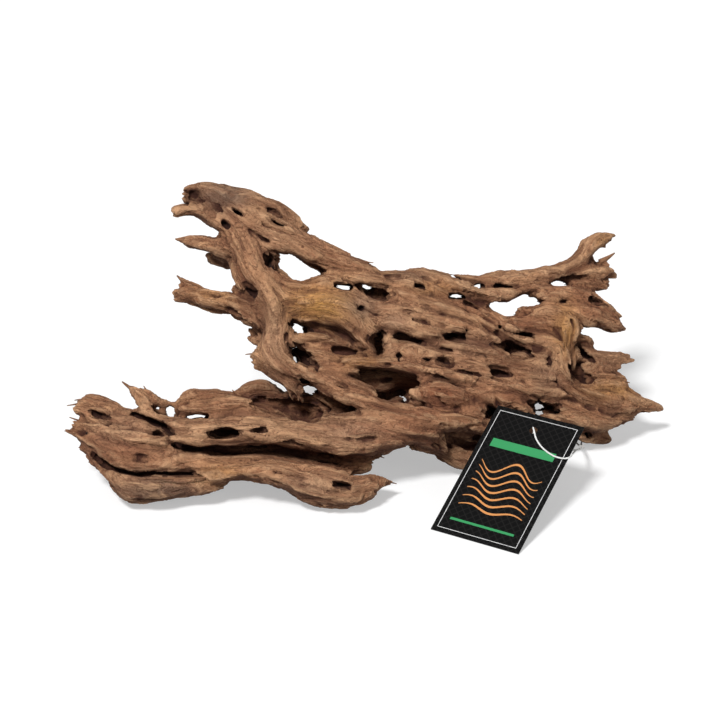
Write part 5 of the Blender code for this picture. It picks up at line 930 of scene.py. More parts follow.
def strand_object(name, groups, squareness, swell=0.0):
    """One object with every strand of the groups in it."""
    mesh = bmesh.new()
    for stations in itertools.chain(*groups):
        add_strand(mesh, stations, squareness, swell)
    return new_object(name, mesh)


def select_only(target):
    """Select one object and make it active."""
    bpy.ops.object.select_all(action="DESELECT")
    target.select_set(True)
    bpy.context.view_layer.objects.active = target


def modify(target, kind, **values):
    """Put a modifier on an object and apply it."""
    modifier = target.modifiers.new(kind.lower(), kind)
    for name, value in values.items():
        setattr(modifier, name, value)
    select_only(target)
    bpy.ops.object.modifier_apply(modifier=modifier.name)


def remesh(target, voxel):
    """Grow the overlapping closed pieces of an object into one skin."""
    modify(target, "REMESH", mode="VOXEL", voxel_size=voxel)


def boolean(target, cutter, operation, solver="MANIFOLD"):
    """Cut or join, and remove the second object."""
    modify(target, "BOOLEAN", operation=operation, solver=solver, object=cutter)
    bpy.data.objects.remove(cutter, do_unlink=True)


def keep_largest(target):
    """Drop loose scraps, so the wood is one body."""
    mesh = bmesh.new()
    mesh.from_mesh(target.data)
    unseen = set(mesh.verts)
    bodies = []
    while unseen:
        start = unseen.pop()
        body = [start]
        edge_of_search = [start]
        while edge_of_search:
            vertex = edge_of_search.pop()
            for edge in vertex.link_edges:
                other = edge.other_vert(vertex)
                if other in unseen:
                    unseen.remove(other)
                    body.append(other)
                    edge_of_search.append(other)
        bodies.append(body)
    bodies.sort(key=len)
    bmesh.ops.delete(mesh, geom=list(itertools.chain(*bodies[:-1])), context="VERTS")
    mesh.to_mesh(target.data)
    mesh.free()


def corner_shares(scaled):
    """The eight cube corners around each point, and each corner's share of it."""
    base = np.floor(scaled).astype(int)
    part = scaled - base
    for corner in range(8):
        step = np.array([corner & 1, corner >> 1 & 1, corner >> 2 & 1])
        share = np.prod(np.where(step, part, 1.0 - part), axis=1)
        yield base + step, share


class GrainField:
    """Where the grain runs, gathered from the strands in cubes of space.

    Each cube holds the six different numbers of its headings' outer product.
    """

    pairs = [(0, 0), (1, 1), (2, 2), (0, 1), (0, 2), (1, 2)]

    def __init__(self, groups):
        places = []
        headings = []
        for stations in itertools.chain(*groups):
            centres = [place(*station[:3]) for station in smooth_row(stations)]
            places += centres
            headings += [heading_at(centres, index) for index in range(len(centres))]
        places = np.array(places)
        headings = np.array(headings)
        margin = GRAIN_CELL * (GRAIN_REACH_CELLS + 1)
        self.low = places.min(axis=0) - margin
        self.shape = np.ceil((places.max(axis=0) + margin - self.low) / GRAIN_CELL).astype(int) + 1
        products = np.stack([headings[:, a] * headings[:, b] for a, b in self.pairs], axis=1)
        self.cells = np.zeros((int(np.prod(self.shape)), len(self.pairs)))
        # Far from every strand, the grain runs level and a little downwards.
        level = np.array(RIGHT - UP * FALL_OF_LEVEL_GRAIN)
        level /= np.linalg.norm(level)
        self.cells += 1e-4 * np.array([level[a] * level[b] for a, b in self.pairs])
        nearest = np.round((places - self.low) / GRAIN_CELL).astype(int)
        offsets = range(-GRAIN_REACH_CELLS, GRAIN_REACH_CELLS + 1)
        for step in itertools.product(offsets, repeat=3):
            cell = nearest + np.array(step)
            away = (places - self.low) / GRAIN_CELL - cell
            share = np.exp(-(away ** 2).sum(axis=1) / (2.0 * GRAIN_SPREAD_CELLS ** 2))
            np.add.at(self.cells, self.flat(cell), products * share[:, None])

    def flat(self, cell):
        """The place of each cube in the list of cubes."""
        cell = np.clip(cell, 0, self.shape - 1)
        return (cell[:, 0] * self.shape[1] + cell[:, 1]) * self.shape[2] + cell[:, 2]

    def products(self, points):
        """The outer product at each point, blended from the cubes around it."""
        total = np.zeros((len(points), len(self.pairs)))
        for cell, share in corner_shares((points - self.low) / GRAIN_CELL):
            total += self.cells[self.flat(cell)] * share[:, None]
        return total

    def onward(self, points, heading):
        """The grain's direction at each point, in the sense of the given heading."""
        xx, yy, zz, xy, xz, yz = self.products(points).T
        for _ in range(GRAIN_TURNS):
            x, y, z = heading.T
            turned = np.stack([
                xx * x + xy * y + xz * z,
                xy * x + yy * y + yz * z,
                xz * x + yz * y + zz * z,
            ], axis=1)
            length = np.linalg.norm(turned, axis=1, keepdims=True)
            heading = turned / np.maximum(length, 1e-12)
        return heading

    def direction(self, points):
        """The grain's direction at each point, in either sense."""
        start = np.tile(np.array(RIGHT + UP * 0.37 + AWAY * 0.21), (len(points), 1))
        for _ in range(4):
            start = self.onward(points, start)
        return start


def rounded_step(part):
    """A share from 0 to 1 that sets out and arrives gently."""
    return part * part * (3.0 - 2.0 * part)


def spread_out(values):
    """Values moved and scaled to lie around 0 with a spread of 1."""
    return (values - values.mean()) / values.std()


def cloud(points, size, lattice):
    """Soft random values in space, with lumps of the given size."""
    scaled = points / size
    base = np.floor(scaled)
    total = np.zeros(len(points))
    for cell, share in corner_shares(base + rounded_step(scaled - base)):
        cell = cell % LATTICE_SIZE
        total += lattice[cell[:, 0], cell[:, 1], cell[:, 2]] * share
    return total


def random_cloud(points, size, seed):
    """Soft random values in space, spread around 0."""
    draw = np.random.default_rng(seed)
    return spread_out(cloud(points, size, draw.random((LATTICE_SIZE,) * 3)))


def streaks(field, points):
    """Random values of each grain size that hardly change along the grain, spread around 0."""
    draw = np.random.default_rng(GRAIN_SEED)
    lattices = [draw.random((LATTICE_SIZE,) * 3) for _ in GRAIN_SIZES]
    totals = [cloud(points, size, lattice) for size, lattice in zip(GRAIN_SIZES, lattices)]
    start = field.direction(points)
    for sense in (1.0, -1.0):
        here = points.copy()
        heading = start * sense
        for step in range(GRAIN_STEPS):
            heading = field.onward(here, heading)
            here = here + heading * GRAIN_STEP
            weight = 0.5 + 0.5 * math.cos(math.pi * (step + 1) / (GRAIN_STEPS + 1))
            for total, size, lattice in zip(totals, GRAIN_SIZES, lattices):
                total += weight * cloud(here, size, lattice)
    return [spread_out(total) for total in totals]


def vertex_places(data):
    """Each vertex's place, as an array."""
    flat = np.empty(len(data.vertices) * 3)
    data.vertices.foreach_get("co", flat)
    return flat.reshape(-1, 3)


def vertex_normals(data):
    """Each vertex's normal, as an array."""
    flat = np.empty(len(data.vertices) * 3, dtype=np.float32)
    data.vertex_normals.foreach_get("vector", flat)
    return flat.reshape(-1, 3).astype(float)


def move_vertices(data, points):
    """Put each vertex at its new place."""
    data.vertices.foreach_set("co", points.ravel())
    data.update()


def store(data, **columns):
    """Keep numbers for each vertex on the mesh, or one number for all of them."""
    for name, values in columns.items():
        attribute = data.attributes.new(name, "FLOAT", "POINT")
        column = np.broadcast_to(values, len(data.vertices)).astype(np.float32)
        attribute.data.foreach_set("value", column)


def patches(points, places):
    """How much each point lies in the patches, from 0 to 1."""
    x, h = picture_places(points)
    total = np.zeros(len(points))
    for centre_x, centre_h, half_width, half_height, strength in places:
        reach = ((x - centre_x) / half_width) ** 2 + ((h - centre_h) / half_height) ** 2
        total = np.maximum(total, strength * np.exp(-reach * PATCH_FALL_OFF))
    return total


def search_tree(target):
    """What sight lines are cast at."""
    return BVHTree.FromObject(target, bpy.context.evaluated_depsgraph_get())


def openness(target, points, normals):
    """How much of the sky near each point is open, from 0 in a hollow to 1."""
    tree = search_tree(target)
    rays = []
    for index in range(SHADE_RAYS):
        height = SHADE_LOWEST + SHADE_RANGE * (index + 0.5) / SHADE_RAYS
        turn = index * GOLDEN_TURN
        flat = math.sqrt(1.0 - height * height)
        rays.append(Vector((flat * math.cos(turn), flat * math.sin(turn), height)))
    result = np.empty(len(points))
    for index, (point, normal) in enumerate(zip(points, normals)):
        normal = Vector(normal)
        turned = normal.to_track_quat("Z", "Y").to_matrix()
        start = Vector(point) + normal * SHADE_START
        total = 0.0
        for ray in rays:
            hit = tree.ray_cast(start, turned @ ray, SHADE_REACH)
            total += 1.0 if hit[3] is None else hit[3] / SHADE_REACH
        result[index] = total / SHADE_RAYS
    return result


def free_room(target, points, normals):
    """How far each point may move outwards and inwards, of the gap to the next wood."""
    tree = search_tree(target)
    result = np.full((2, len(points)), ROOM_REACH)
    for index, (point, normal) in enumerate(zip(points, normals)):
        point = Vector(point)
        normal = Vector(normal)
        for side, heading in enumerate((normal, -normal)):
            hit = tree.ray_cast(point + heading * ROOM_START, heading, ROOM_REACH)
            if hit[3] is not None:
                result[side, index] = hit[3]
    return result * ROOM_SHARE


def neighbour_mean(data, values, rounds):
    """Values with each vertex blended with its neighbours."""
    edges = np.empty(len(data.edges) * 2, dtype=int)
    data.edges.foreach_get("vertices", edges)
    first, second = edges.reshape(-1, 2).T
    count = np.bincount(first, minlength=len(values)) + np.bincount(second, minlength=len(values))
    for _ in range(rounds):
        total = np.bincount(first, values[second], len(values))
        total += np.bincount(second, values[first], len(values))
        values = 0.5 * values + 0.5 * total / np.maximum(count, 1)
    return values


def standing_out(data, points, normals, rounds):
    """How far each vertex stands out of the surface around it, spread around 0."""
    level = np.stack([neighbour_mean(data, points[:, axis], rounds) for axis in range(3)], axis=1)
    height = ((points - level) * normals).sum(axis=1)
    return np.clip(height / height.std(), -3.0, 3.0)


def furrow(value, width):
    """A narrow dip where a value passes through 0."""
    return np.exp(-(value / width) ** 2)


def terraced(value, steps):
    """A value that climbs in rounded steps, as flakes of wood lie over one another."""
    scaled = value * steps
    base = np.floor(scaled)
    part = np.clip((scaled - base - 0.5) * TERRACE_STEEPNESS + 0.5, 0.0, 1.0)
    return (base + rounded_step(part)) / steps


def drawn(draw, least, more, power):
    """A size for each split."""
    return least + more * draw.random(SPLITS) ** power


def scatter_splits(target, field):
    """A cutter of short splits and worm holes along the grain, drawn at random."""
    draw = np.random.default_rng(SPLIT_SEED)
    points = vertex_places(target.data)
    chosen = draw.choice(len(points), SPLITS, replace=False)
    starts = points[chosen]
    facing = vertex_normals(target.data)[chosen]
    lengths = drawn(draw, *SPLIT_LENGTH)
    widths = drawn(draw, *SPLIT_WIDTH_MM)
    depths = drawn(draw, *SPLIT_DEPTH_MM)
    rows = [starts]
    for sense in (1.0, -1.0):
        here = starts
        heading = field.direction(starts) * sense
        for _ in range(SPLIT_POINTS // 2):
            heading = field.onward(here, heading)
            level = heading - facing * (heading * facing).sum(axis=1, keepdims=True)
            here = here + level * lengths[:, None] / SPLIT_POINTS * 2.0
            rows = rows + [here] if sense > 0.0 else [here] + rows
    mesh = bmesh.new()
    shape = [math.sin(math.pi * (index + 0.6) / (SPLIT_POINTS + 0.2)) for index in range(SPLIT_POINTS)]
    for split in range(SPLITS):
        centres = [Vector(row[split]) for row in rows]
        add_tube(mesh, centres, [widths[split] * share for share in shape],
                 [depths[split] * share for share in shape], Vector(facing[split]),
                 HOLLOW_SQUARENESS, SPLIT_SIDES)
    return new_object("splits", mesh)


def limited(values):
    """Values kept near 0."""
    return np.clip(values, -GRAIN_LIMIT, GRAIN_LIMIT)


def carve_grain(target, field, settings):
    """Ridges, furrows, fibres and lumps, pressed into the surface."""
    data = target.data
    points = vertex_places(data)
    normals = vertex_normals(data)
    wide, narrow, hair = [limited(values) for values in streaks(field, points)]
    rough = np.clip(0.6 + 0.35 * random_cloud(points, WORN_SIZE, WORN_SEED), 0.2, 1.2)
    lumps = limited(random_cloud(points, LUMP_SIZE, LUMP_SEED))
    crumbs = limited(random_cloud(points, CRUMB_SIZE, CRUMB_SEED))

    # Ridges and fibres stand out in flakes, with lumps and crumbs over them.
    depth = settings.ridge_depth * terraced(wide + 0.25 * lumps, RIDGE_TERRACES) * (0.4 + 0.6 * rough)
    depth += settings.fibre_depth * terraced(narrow, FIBRE_TERRACES) * rough
    depth += settings.fibre_depth * 0.5 * hair
    depth += settings.lump_depth * (0.35 * lumps + 0.22 * crumbs * rough)
    # Small pits, furrows between the ridges, and finer cracks where the wood is rough.
    depth -= settings.lump_depth * np.clip(crumbs - 0.9, 0.0, 1.0) * np.clip(lumps, 0.0, 1.0)
    depth -= settings.furrow_depth * furrow(wide - FURROW_AT, FURROW_WIDTH) * rough
    cracked = np.clip(rough - 0.5, 0.0, 1.0)
    depth -= settings.furrow_depth * 0.6 * furrow(narrow - CHECK_AT, CHECK_WIDTH) * cracked

    # Nothing grows out of the box of the solid, and the flats that the wood stands on stay flat.
    low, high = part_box("wood")
    room = np.minimum(points - np.array(low), np.array(high) - points)[:, :2].min(axis=1)
    room = np.minimum(room, high[2] - points[:, 2])
    depth = np.minimum(depth, np.maximum(room - BOX_CLEARANCE, 0.0))
    outwards, inwards = free_room(target, points, normals)
    depth = np.clip(depth, -inwards, outwards)
    above = np.clip((points[:, 2] - LEVEL_HEIGHT) / LEVEL_EASE, 0.0, 1.0)
    moved = points + normals * (depth * above)[:, None]

    # Where the grain runs out of the surface, its fibres are torn off unevenly.
    grain = field.direction(points)
    facing_end = (normals * grain).sum(axis=1)
    torn = settings.torn_length * (0.8 * narrow + 0.5 * hair) * np.abs(facing_end) ** 1.5
    torn = np.minimum(torn, np.maximum(room - TORN_CLEARANCE, 0.0))
    torn = np.clip(torn, -inwards, outwards)
    moved += grain * (torn * np.sign(facing_end) * above)[:, None]
    move_vertices(data, behind_card(moved))


def behind_card(points):
    """Points pushed back where they would come through the card that leans on the wood."""
    width, height, _ = TAG_SIZE
    to_card = np.array(tag_place().inverted())
    across, up, out = (points @ to_card[:3, :3].T + to_card[:3, 3]).T
    under = (across > -CARD_MARGIN) & (across < width + CARD_MARGIN)
    under &= (up > -CARD_MARGIN) & (up < height + CARD_MARGIN)
    under &= (out > -CARD_CLEARANCE) & (out < CARD_REACH)
    back = np.where(under, out + CARD_CLEARANCE, 0.0)
    return points - np.array(tag_axes()[2]) * back[:, None]


def cut_level(target):
    """Cut the wood off where it stands."""
    select_only(target)
    bpy.ops.object.mode_set(mode="EDIT")
    bpy.ops.mesh.select_all(action="SELECT")
    bpy.ops.mesh.bisect(plane_co=(0.0, 0.0, 0.0), plane_no=(0.0, 0.0, 1.0), use_fill=True,
                        clear_inner=True)
    bpy.ops.object.mode_set(mode="OBJECT")


def thin_out(target, triangles):
    """Keep about so many triangles, and none of them below the ground."""
    present = sum(len(polygon.vertices) - 2 for polygon in target.data.polygons)
    modify(target, "DECIMATE", ratio=triangles / present, use_collapse_triangulate=True)
    keep_largest(target)
    points = vertex_places(target.data)
    points[:, 2] = np.maximum(points[:, 2], 0.0)
    move_vertices(target.data, points)


def finish_attributes(target, field):
    """What the material needs to know of each point of the wood."""
    data = target.data
    points = vertex_places(data)
    normals = vertex_normals(data)
    wide, narrow, hair = streaks(field, points)
    open_sky = openness(target, points, normals)
    store(data, wide_grain=wide, narrow_grain=narrow, hair_grain=hair,
          open_sky=neighbour_mean(data, open_sky, 2),
          fine_edge=neighbour_mean(data, standing_out(data, points, normals, 4), 1),
          broad_edge=standing_out(data, points, normals, 28))
    store(data, **{name: patches(points, places) for name, places in PATCHES.items()})
    # Painted shade: how much each point faces down, by which the material darkens undersides.
    store(data, underside=neighbour_mean(data, -normals[:, 2], 8))


class Shading:
    """The nodes of one material, node group or world."""

    def __init__(self, tree):
        self.tree = tree

    def feed(self, socket, value):
        """Give a socket another node's output, a number or a colour."""
        if isinstance(value, bpy.types.NodeSocket):
            self.tree.links.new(value, socket)
        elif isinstance(value, (int, float)):
            socket.default_value = value
        else:
            socket.default_value = (*value, 1.0)

    def put(self, kind, inputs=None, **settings):
        """A node with its settings and what goes into it."""
        node = self.tree.nodes.new(kind)
        for name, value in settings.items():
            setattr(node, name, value)
        for name, value in (inputs or {}).items():
            self.feed(node.inputs[name], value)
        return node

    def places(self):
        """Object coordinates."""
        return self.put("ShaderNodeTexCoord").outputs["Object"]

    def attribute(self, name):
        """A number that is kept on the mesh."""
        return self.put("ShaderNodeAttribute", attribute_name=name).outputs["Fac"]

    def computed(self, operation, first, second):
        """One step of arithmetic."""
        return self.put("ShaderNodeMath", {0: first, 1: second}, operation=operation).outputs[0]

    def weighted(self, *terms):
        """The sum of the values, each times its share."""
        total = None
        for value, share in terms:
            part = value if share == 1.0 else self.computed("MULTIPLY", value, share)
            total = part if total is None else self.computed("ADD", total, part)
        return total

    def stretched(self, value, low, high, new_low=0.0, new_high=1.0):
        """A value moved from one range to another, and kept in it."""
        ranges = {"Value": value, "From Min": low, "From Max": high, "To Min": new_low, "To Max": new_high}
        return self.put("ShaderNodeMapRange", ranges, clamp=True).outputs["Result"]

    def mixed(self, share, first, second):
        """The second colour over the first by a share."""
        return self.put("ShaderNodeMix", {0: share, 6: first, 7: second}, data_type="RGBA").outputs[2]

    def noise(self, vector, scale, detail=2.0, roughness=0.5):
        """Soft random values."""
        inputs = {"Vector": vector, "Scale": scale, "Detail": detail, "Roughness": roughness}
        return self.put("ShaderNodeTexNoise", inputs).outputs["Fac"]

    def bumped(self, height, strength, distance):
        """A normal that follows a height."""
        inputs = {"Height": height, "Strength": strength, "Distance": distance}
        return self.put("ShaderNodeBump", inputs).outputs["Normal"]


class Finish(Shading):
    """A Principled material to build on."""

    def __init__(self, name):
        self.material = bpy.data.materials.new(name)
        self.material.use_nodes = True
        super().__init__(self.material.node_tree)
        self.shader = self.tree.nodes["Principled BSDF"]

    def give(self, name, value):
        """Set or link one input of the Principled shader."""
        self.feed(self.shader.inputs[name], value)


def grain_group():
    """Fine streaks along the grain, from the streak values kept on the mesh."""
    group = bpy.data.node_groups.new("grain_streaks", "ShaderNodeTree")
    for name in ("Wide", "Narrow", "Hair"):
        group.interface.new_socket(name, in_out="INPUT", socket_type="NodeSocketFloat")
    for name in ("Streaks", "Hairlines", "Mottle", "Grit"):
        group.interface.new_socket(name, in_out="OUTPUT", socket_type="NodeSocketFloat")
    shading = Shading(group)
    grain = shading.put("NodeGroupInput").outputs
    places = shading.places()
    drift = shading.noise(places, 35.0)

    def along_grain(first, first_share, second, second_share):
        """A place that changes fast across the grain and slowly along it."""
        return shading.put("ShaderNodeCombineXYZ", {
            0: shading.computed("MULTIPLY", grain[first], first_share),
            1: shading.computed("MULTIPLY", grain[second], second_share),
            2: drift,
        }).outputs[0]

    shading.put("NodeGroupOutput", {
        "Streaks": shading.noise(along_grain("Wide", 1.5, "Narrow", 0.9), 1.3, 3.0, 0.6),
        "Hairlines": shading.noise(along_grain("Narrow", 1.3, "Hair", 1.0), 1.2, 3.0, 0.7),
        "Mottle": shading.noise(places, 55.0, 3.0, 0.6),
        "Grit": shading.noise(places, 620.0, 3.0, 0.6),
    })
    return group


def wood_material(settings):
    """Weathered wood: brown with tan worn fibres and patches of other colour, with painted shade in the
    hollows, in creases and on undersides, and painted highlights on raised fibres, edges and pale plates.
    """
    finish = Finish("wood")
    wide = finish.attribute("wide_grain")
    narrow = finish.attribute("narrow_grain")
    grain = finish.put("ShaderNodeGroup", node_tree=grain_group())
    for name, value in (("Wide", wide), ("Narrow", narrow), ("Hair", finish.attribute("hair_grain"))):
        finish.feed(grain.inputs[name], value)
    streaky = grain.outputs["Streaks"]
    mottled = grain.outputs["Mottle"]
    streak = finish.stretched(streaky, 0.36, 0.64)
    hairline = finish.stretched(grain.outputs["Hairlines"], 0.34, 0.66)
    grit = finish.stretched(grain.outputs["Grit"], 0.35, 0.65)
    raised = finish.stretched(finish.weighted((wide, 1.0), (narrow, 0.7)), -1.6, 1.8)

    # What lies over the brown, from the bottom up: how much of it, and its colour.
    layers = [
        # Tan over the raised fibres: wear, and a painted highlight on the ridges.
        (finish.weighted((streak, 0.5), (raised, 0.5)), settings.tan),
        (finish.computed("MULTIPLY", finish.stretched(mottled, 0.35, 0.65), 0.6), settings.brown),
    ]
    # Red, pale, yellow and grey patches; the pale ones are partly a painted highlight on plates that face the
    # light.
    for name, colour in (("red_wood", settings.red), ("pale_wood_and_highlight", settings.pale),
                         ("yellow_wood", settings.yellow), ("grey_wood", settings.grey)):
        uneven = finish.stretched(streaky, 0.3, 0.6, 0.45, 1.0)
        layers.append((finish.computed("MULTIPLY", finish.attribute(name), uneven), colour))
    dull = finish.stretched(mottled, 0.3, 0.6, 0.7, 1.0)
    edge = finish.weighted((finish.attribute("fine_edge"), 1.0), (finish.attribute("broad_edge"), 0.8))
    # Standing edges turn pale, as edge wear and as a painted highlight.
    edge_wear_and_highlight = finish.stretched(edge, 0.5, 2.6, 0.0, 0.75)
    sky = finish.attribute("open_sky")
    layers += [
        (finish.stretched(grit, 0.0, 0.3, 0.35, 0.0), settings.dark),
        (finish.stretched(hairline, 0.1, 0.5, 0.7, 0.0), settings.dark),
        # Dark patches: some darker wood, mostly painted shade.
        (finish.computed("MULTIPLY", finish.attribute("dark_wood_and_shade"), dull), settings.dark),
        # Painted shade on surfaces that face down.
        (finish.stretched(finish.attribute("underside"), -0.35, 0.75, 0.0, 0.75), settings.dark),
        # Edge wear and painted highlight on standing edges.
        (finish.computed("MULTIPLY", edge_wear_and_highlight, streak), settings.pale),
        # Painted shade in creases: darker where the surface lies below the surface around it.
        (finish.stretched(edge, -2.4, -0.3, 0.9, 0.0), settings.dark),
        # Painted shade: darker where less of the sky is open, and nearly black deep in the hollows.
        (finish.stretched(sky, 0.3, 0.9, 0.9, 0.0), settings.dark),
        (finish.stretched(sky, 0.12, 0.52, 1.0, 0.0), settings.hollow),
    ]
    colour = settings.brown
    for share, over in layers:
        colour = finish.mixed(share, colour, over)
    height = finish.weighted((hairline, 0.6), (streak, 0.45), (grit, 0.3))
    finish.give("Base Color", colour)
    finish.give("Normal", finish.bumped(height, 0.9, 0.0014))
    finish.give("Roughness", finish.stretched(hairline, 0.0, 1.0, 0.9, 0.7))
    finish.give("Specular IOR Level", 0.25)
    return finish.material


def build_wood(settings):
    """The wood: strands grown together, hollowed, cut flat where it stands, and grained."""
    groups = [LOG_STRANDS, LEFT_LIMB_STRANDS, BODY_STRANDS, RIGHT_STRANDS, BACK_STRANDS]
    wood = strand_object("dragon_wood", groups, WOOD_SQUARENESS, CREASE_FILL_MM)
    remesh(wood, UNION_VOXEL)
    modify(wood, "DISPLACE", mid_level=0.0, strength=-CREASE_FILL_MM * MM)
    remesh(wood, UNION_VOXEL)
    hollows = strand_object("hollows", [HOLLOWS, FINE_CRACKS], HOLLOW_SQUARENESS)
    remesh(hollows, HOLLOW_VOXEL)
    boolean(wood, hollows, "DIFFERENCE")
    for first in range(2):
        boolean(wood, window_object(WINDOWS[first::2]), "DIFFERENCE")
    boolean(wood, strand_object("late", [LATE_STRANDS], HOLLOW_SQUARENESS), "UNION")
    field = GrainField(groups)
    splits = scatter_splits(wood, field)
    remesh(splits, HOLLOW_VOXEL)
    boolean(wood, splits, "DIFFERENCE")
    remesh(wood, FINE_VOXEL)
    keep_largest(wood)
    modify(wood, "SMOOTH", factor=SMOOTHING, iterations=1)
    carve_grain(wood, field, settings)
    cut_level(wood)
    thin_out(wood, settings.triangles)
    finish_attributes(wood, field)
    select_only(wood)
    bpy.ops.object.shade_smooth_by_angle(angle=CRISP_EDGE)
    wood.data.materials.clear()
    wood.data.materials.append(wood_material(settings))
    return wood


def build_splinters(wood_finish):
    """Thin splinters and fibres that stand off the tips and edges of the wood."""
    mesh = bmesh.new()
    for stations in SPLINTERS:
        add_strand(mesh, stations, HOLLOW_SQUARENESS, sides=SPLINTER_SIDES, least=LEAST_SPLINTER_MM)
    splinters = new_object("splinters", mesh, wood_finish)
    store(splinters.data, wide_grain=0.8, narrow_grain=0.6, hair_grain=0.2, open_sky=0.8,
          fine_edge=0.6, broad_edge=0.6, underside=0.15)
    store(splinters.data, **{name: 0.15 for name in PATCHES})
    splinters.data.shade_smooth()
    return splinters


def tag_axes():
    """The directions along the tag's lower edge, up its face and out of its face."""
    along = Vector((math.cos(TAG_TURN), math.sin(TAG_TURN), 0.0))
    level_back = Vector((-along.y, along.x, 0.0))
    up_face = level_back * math.cos(TAG_LEAN) + Vector((0.0, 0.0, math.sin(TAG_LEAN)))
    return along, up_face, along.cross(up_face)


def tag_place():
    """From the card's own plane, its lower left corner at the origin, to where it leans."""
    along, up_face, out = tag_axes()
    corner = Vector((TAG_FOOT_MM[0] * MM, TAG_FOOT_MM[1] * MM, 0.0)) + SHIFT
    return Matrix.Translation(corner) @ Matrix((along, up_face, out)).transposed().to_4x4()


def build_tag_card(tag):
    """The card, with rounded cut edges and a punched hole."""
    width, height, thickness = TAG_SIZE
    bpy.ops.object.select_all(action="DESELECT")
    bpy.ops.mesh.primitive_cube_add(size=1.0, location=(width / 2.0, height / 2.0, thickness / 2.0))
    card = bpy.context.object
    card.name = "hang_tag_card"
    card.scale = (width, height, thickness)
    bpy.ops.object.transform_apply(location=True, rotation=True, scale=True)
    bpy.ops.mesh.primitive_cylinder_add(
        vertices=TAG_HOLE_SIDES, radius=TAG_HOLE_DIAMETER / 2.0, depth=thickness * 6.0,
        location=(width / 2.0, height - TAG_HOLE_FROM_TOP, 0.0))
    punch = bpy.context.object
    bpy.ops.object.transform_apply(location=True, rotation=True, scale=True)
    boolean(card, punch, "DIFFERENCE", "EXACT")
    modify(card, "BEVEL", width=thickness * TAG_EDGE_ROUNDING, segments=2, limit_method="ANGLE")
    corners = vertex_places(card.data)
    store(card.data, card_across=corners[:, 0], card_up=corners[:, 1])
    card.data.transform(tag_place())
    card.data.materials.clear()
    card.data.materials.append(card_material(tag))
    return card


def card_material(tag):
    """Black printed card with a faint sheen, a faint lattice and fine specks."""
    finish = Finish("tag_card")
    speck = finish.noise(finish.places(), 2600.0)
    share = finish.stretched(speck, 0.45, 0.75, 0.0, 0.06)
    across = finish.attribute("card_across")
    upwards = finish.attribute("card_up")
    for sign in (1.0, -1.0):
        slant = finish.weighted((across, 1.0), (upwards, sign))
        strip = finish.computed("PINGPONG", slant, TAG_LATTICE / 2.0)
        line = finish.stretched(strip, 0.0, TAG_LATTICE * 0.12, 0.22, 0.0)
        share = finish.computed("MAXIMUM", share, line)
    finish.give("Base Color", finish.mixed(share, tag.card, tag.edge))
    finish.give("Roughness", finish.stretched(speck, 0.3, 0.7, 0.34, 0.5))
    finish.give("Normal", finish.bumped(speck, 0.25, 0.00003))
    finish.give("Specular IOR Level", 0.12)
    return finish.material


def ink_material(name, colour):
    """Printed ink, a little uneven."""
    finish = Finish(name)
    speck = finish.noise(finish.places(), 1800.0)
    worn = [value * 0.82 for value in colour]
    finish.give("Base Color", finish.mixed(speck, colour, worn))
    finish.give("Roughness", finish.stretched(speck, 0.3, 0.7, 0.36, 0.5))
    return finish.material


def printed(name, outlines, thickness, finish):
    """Flat printed shapes, a hair above the card's face, from outlines in millimetres."""
    mesh = bmesh.new()
    for outline in outlines:
        mesh.faces.new([mesh.verts.new((x * MM, y * MM, 0.0)) for x, y in outline])
    mesh.normal_update()
    made = bmesh.ops.extrude_face_region(mesh, geom=mesh.faces[:])
    raised = [item for item in made["geom"] if isinstance(item, bmesh.types.BMVert)]
    bmesh.ops.translate(mesh, verts=raised, vec=(0.0, 0.0, thickness))
    bmesh.ops.translate(mesh, verts=mesh.verts[:], vec=(0.0, 0.0, TAG_SIZE[2] + PRINT_LIFT))
    bmesh.ops.transform(mesh, verts=mesh.verts[:], matrix=tag_place())
    return new_object(name, mesh, finish)


def bar(left, low, right, high):
    """The outline of a bar."""
    return [(left, low), (right, low), (right, high), (left, high)]


def border_bars():
    """Four thin bars that run round the card, inset from its edge."""
    left = BORDER_INSET
    right = TAG_SIZE[0] / MM - BORDER_INSET
    top = TAG_SIZE[1] / MM - BORDER_INSET
    return [
        bar(left, left, right, left + BORDER_LINE),
        bar(left, top - BORDER_LINE, right, top),
        bar(left, left + BORDER_LINE, left + BORDER_LINE, top - BORDER_LINE),
        bar(right - BORDER_LINE, left + BORDER_LINE, right, top - BORDER_LINE),
    ]


def wave(row):
    """A thin wavy line right across the card's middle, higher and later than the one below."""
    base = WAVE_FOOT + row * WAVE_SPACING
    rise = WAVE_RISE + WAVE_RISE_GAIN * row
    upper = []
    lower = []
    for step in range(WAVE_STEPS + 1):
        x = PRINT_LEFT + (PRINT_RIGHT - PRINT_LEFT) * step / WAVE_STEPS
        y = base + rise * math.sin(2.0 * math.pi * (WAVE_TURNS * step / WAVE_STEPS + WAVE_LAG * row))
        swell = math.sin(math.pi * step / WAVE_STEPS)
        half = WAVE_LINE * (WAVE_TIP + (1.0 - WAVE_TIP) * swell) / 2.0
        upper.append((x, y + half))
        lower.append((x, y - half))
    return lower + upper[::-1]


def build_tag_print(tag):
    """The print: a pale border, two green bands and golden wavy lines between them."""
    bands = [bar(PRINT_LEFT, low, PRINT_RIGHT, high) for low, high in BANDS]
    waves = [wave(row) for row in range(WAVES)]
    shapes = [("border", border_bars(), "white"), ("bands", bands, "green"), ("waves", waves, "gold")]
    return [
        printed("tag_" + name, outlines, tag.print_thickness,
                ink_material("tag_" + colour, getattr(tag, colour)))
        for name, outlines, colour in shapes
    ]


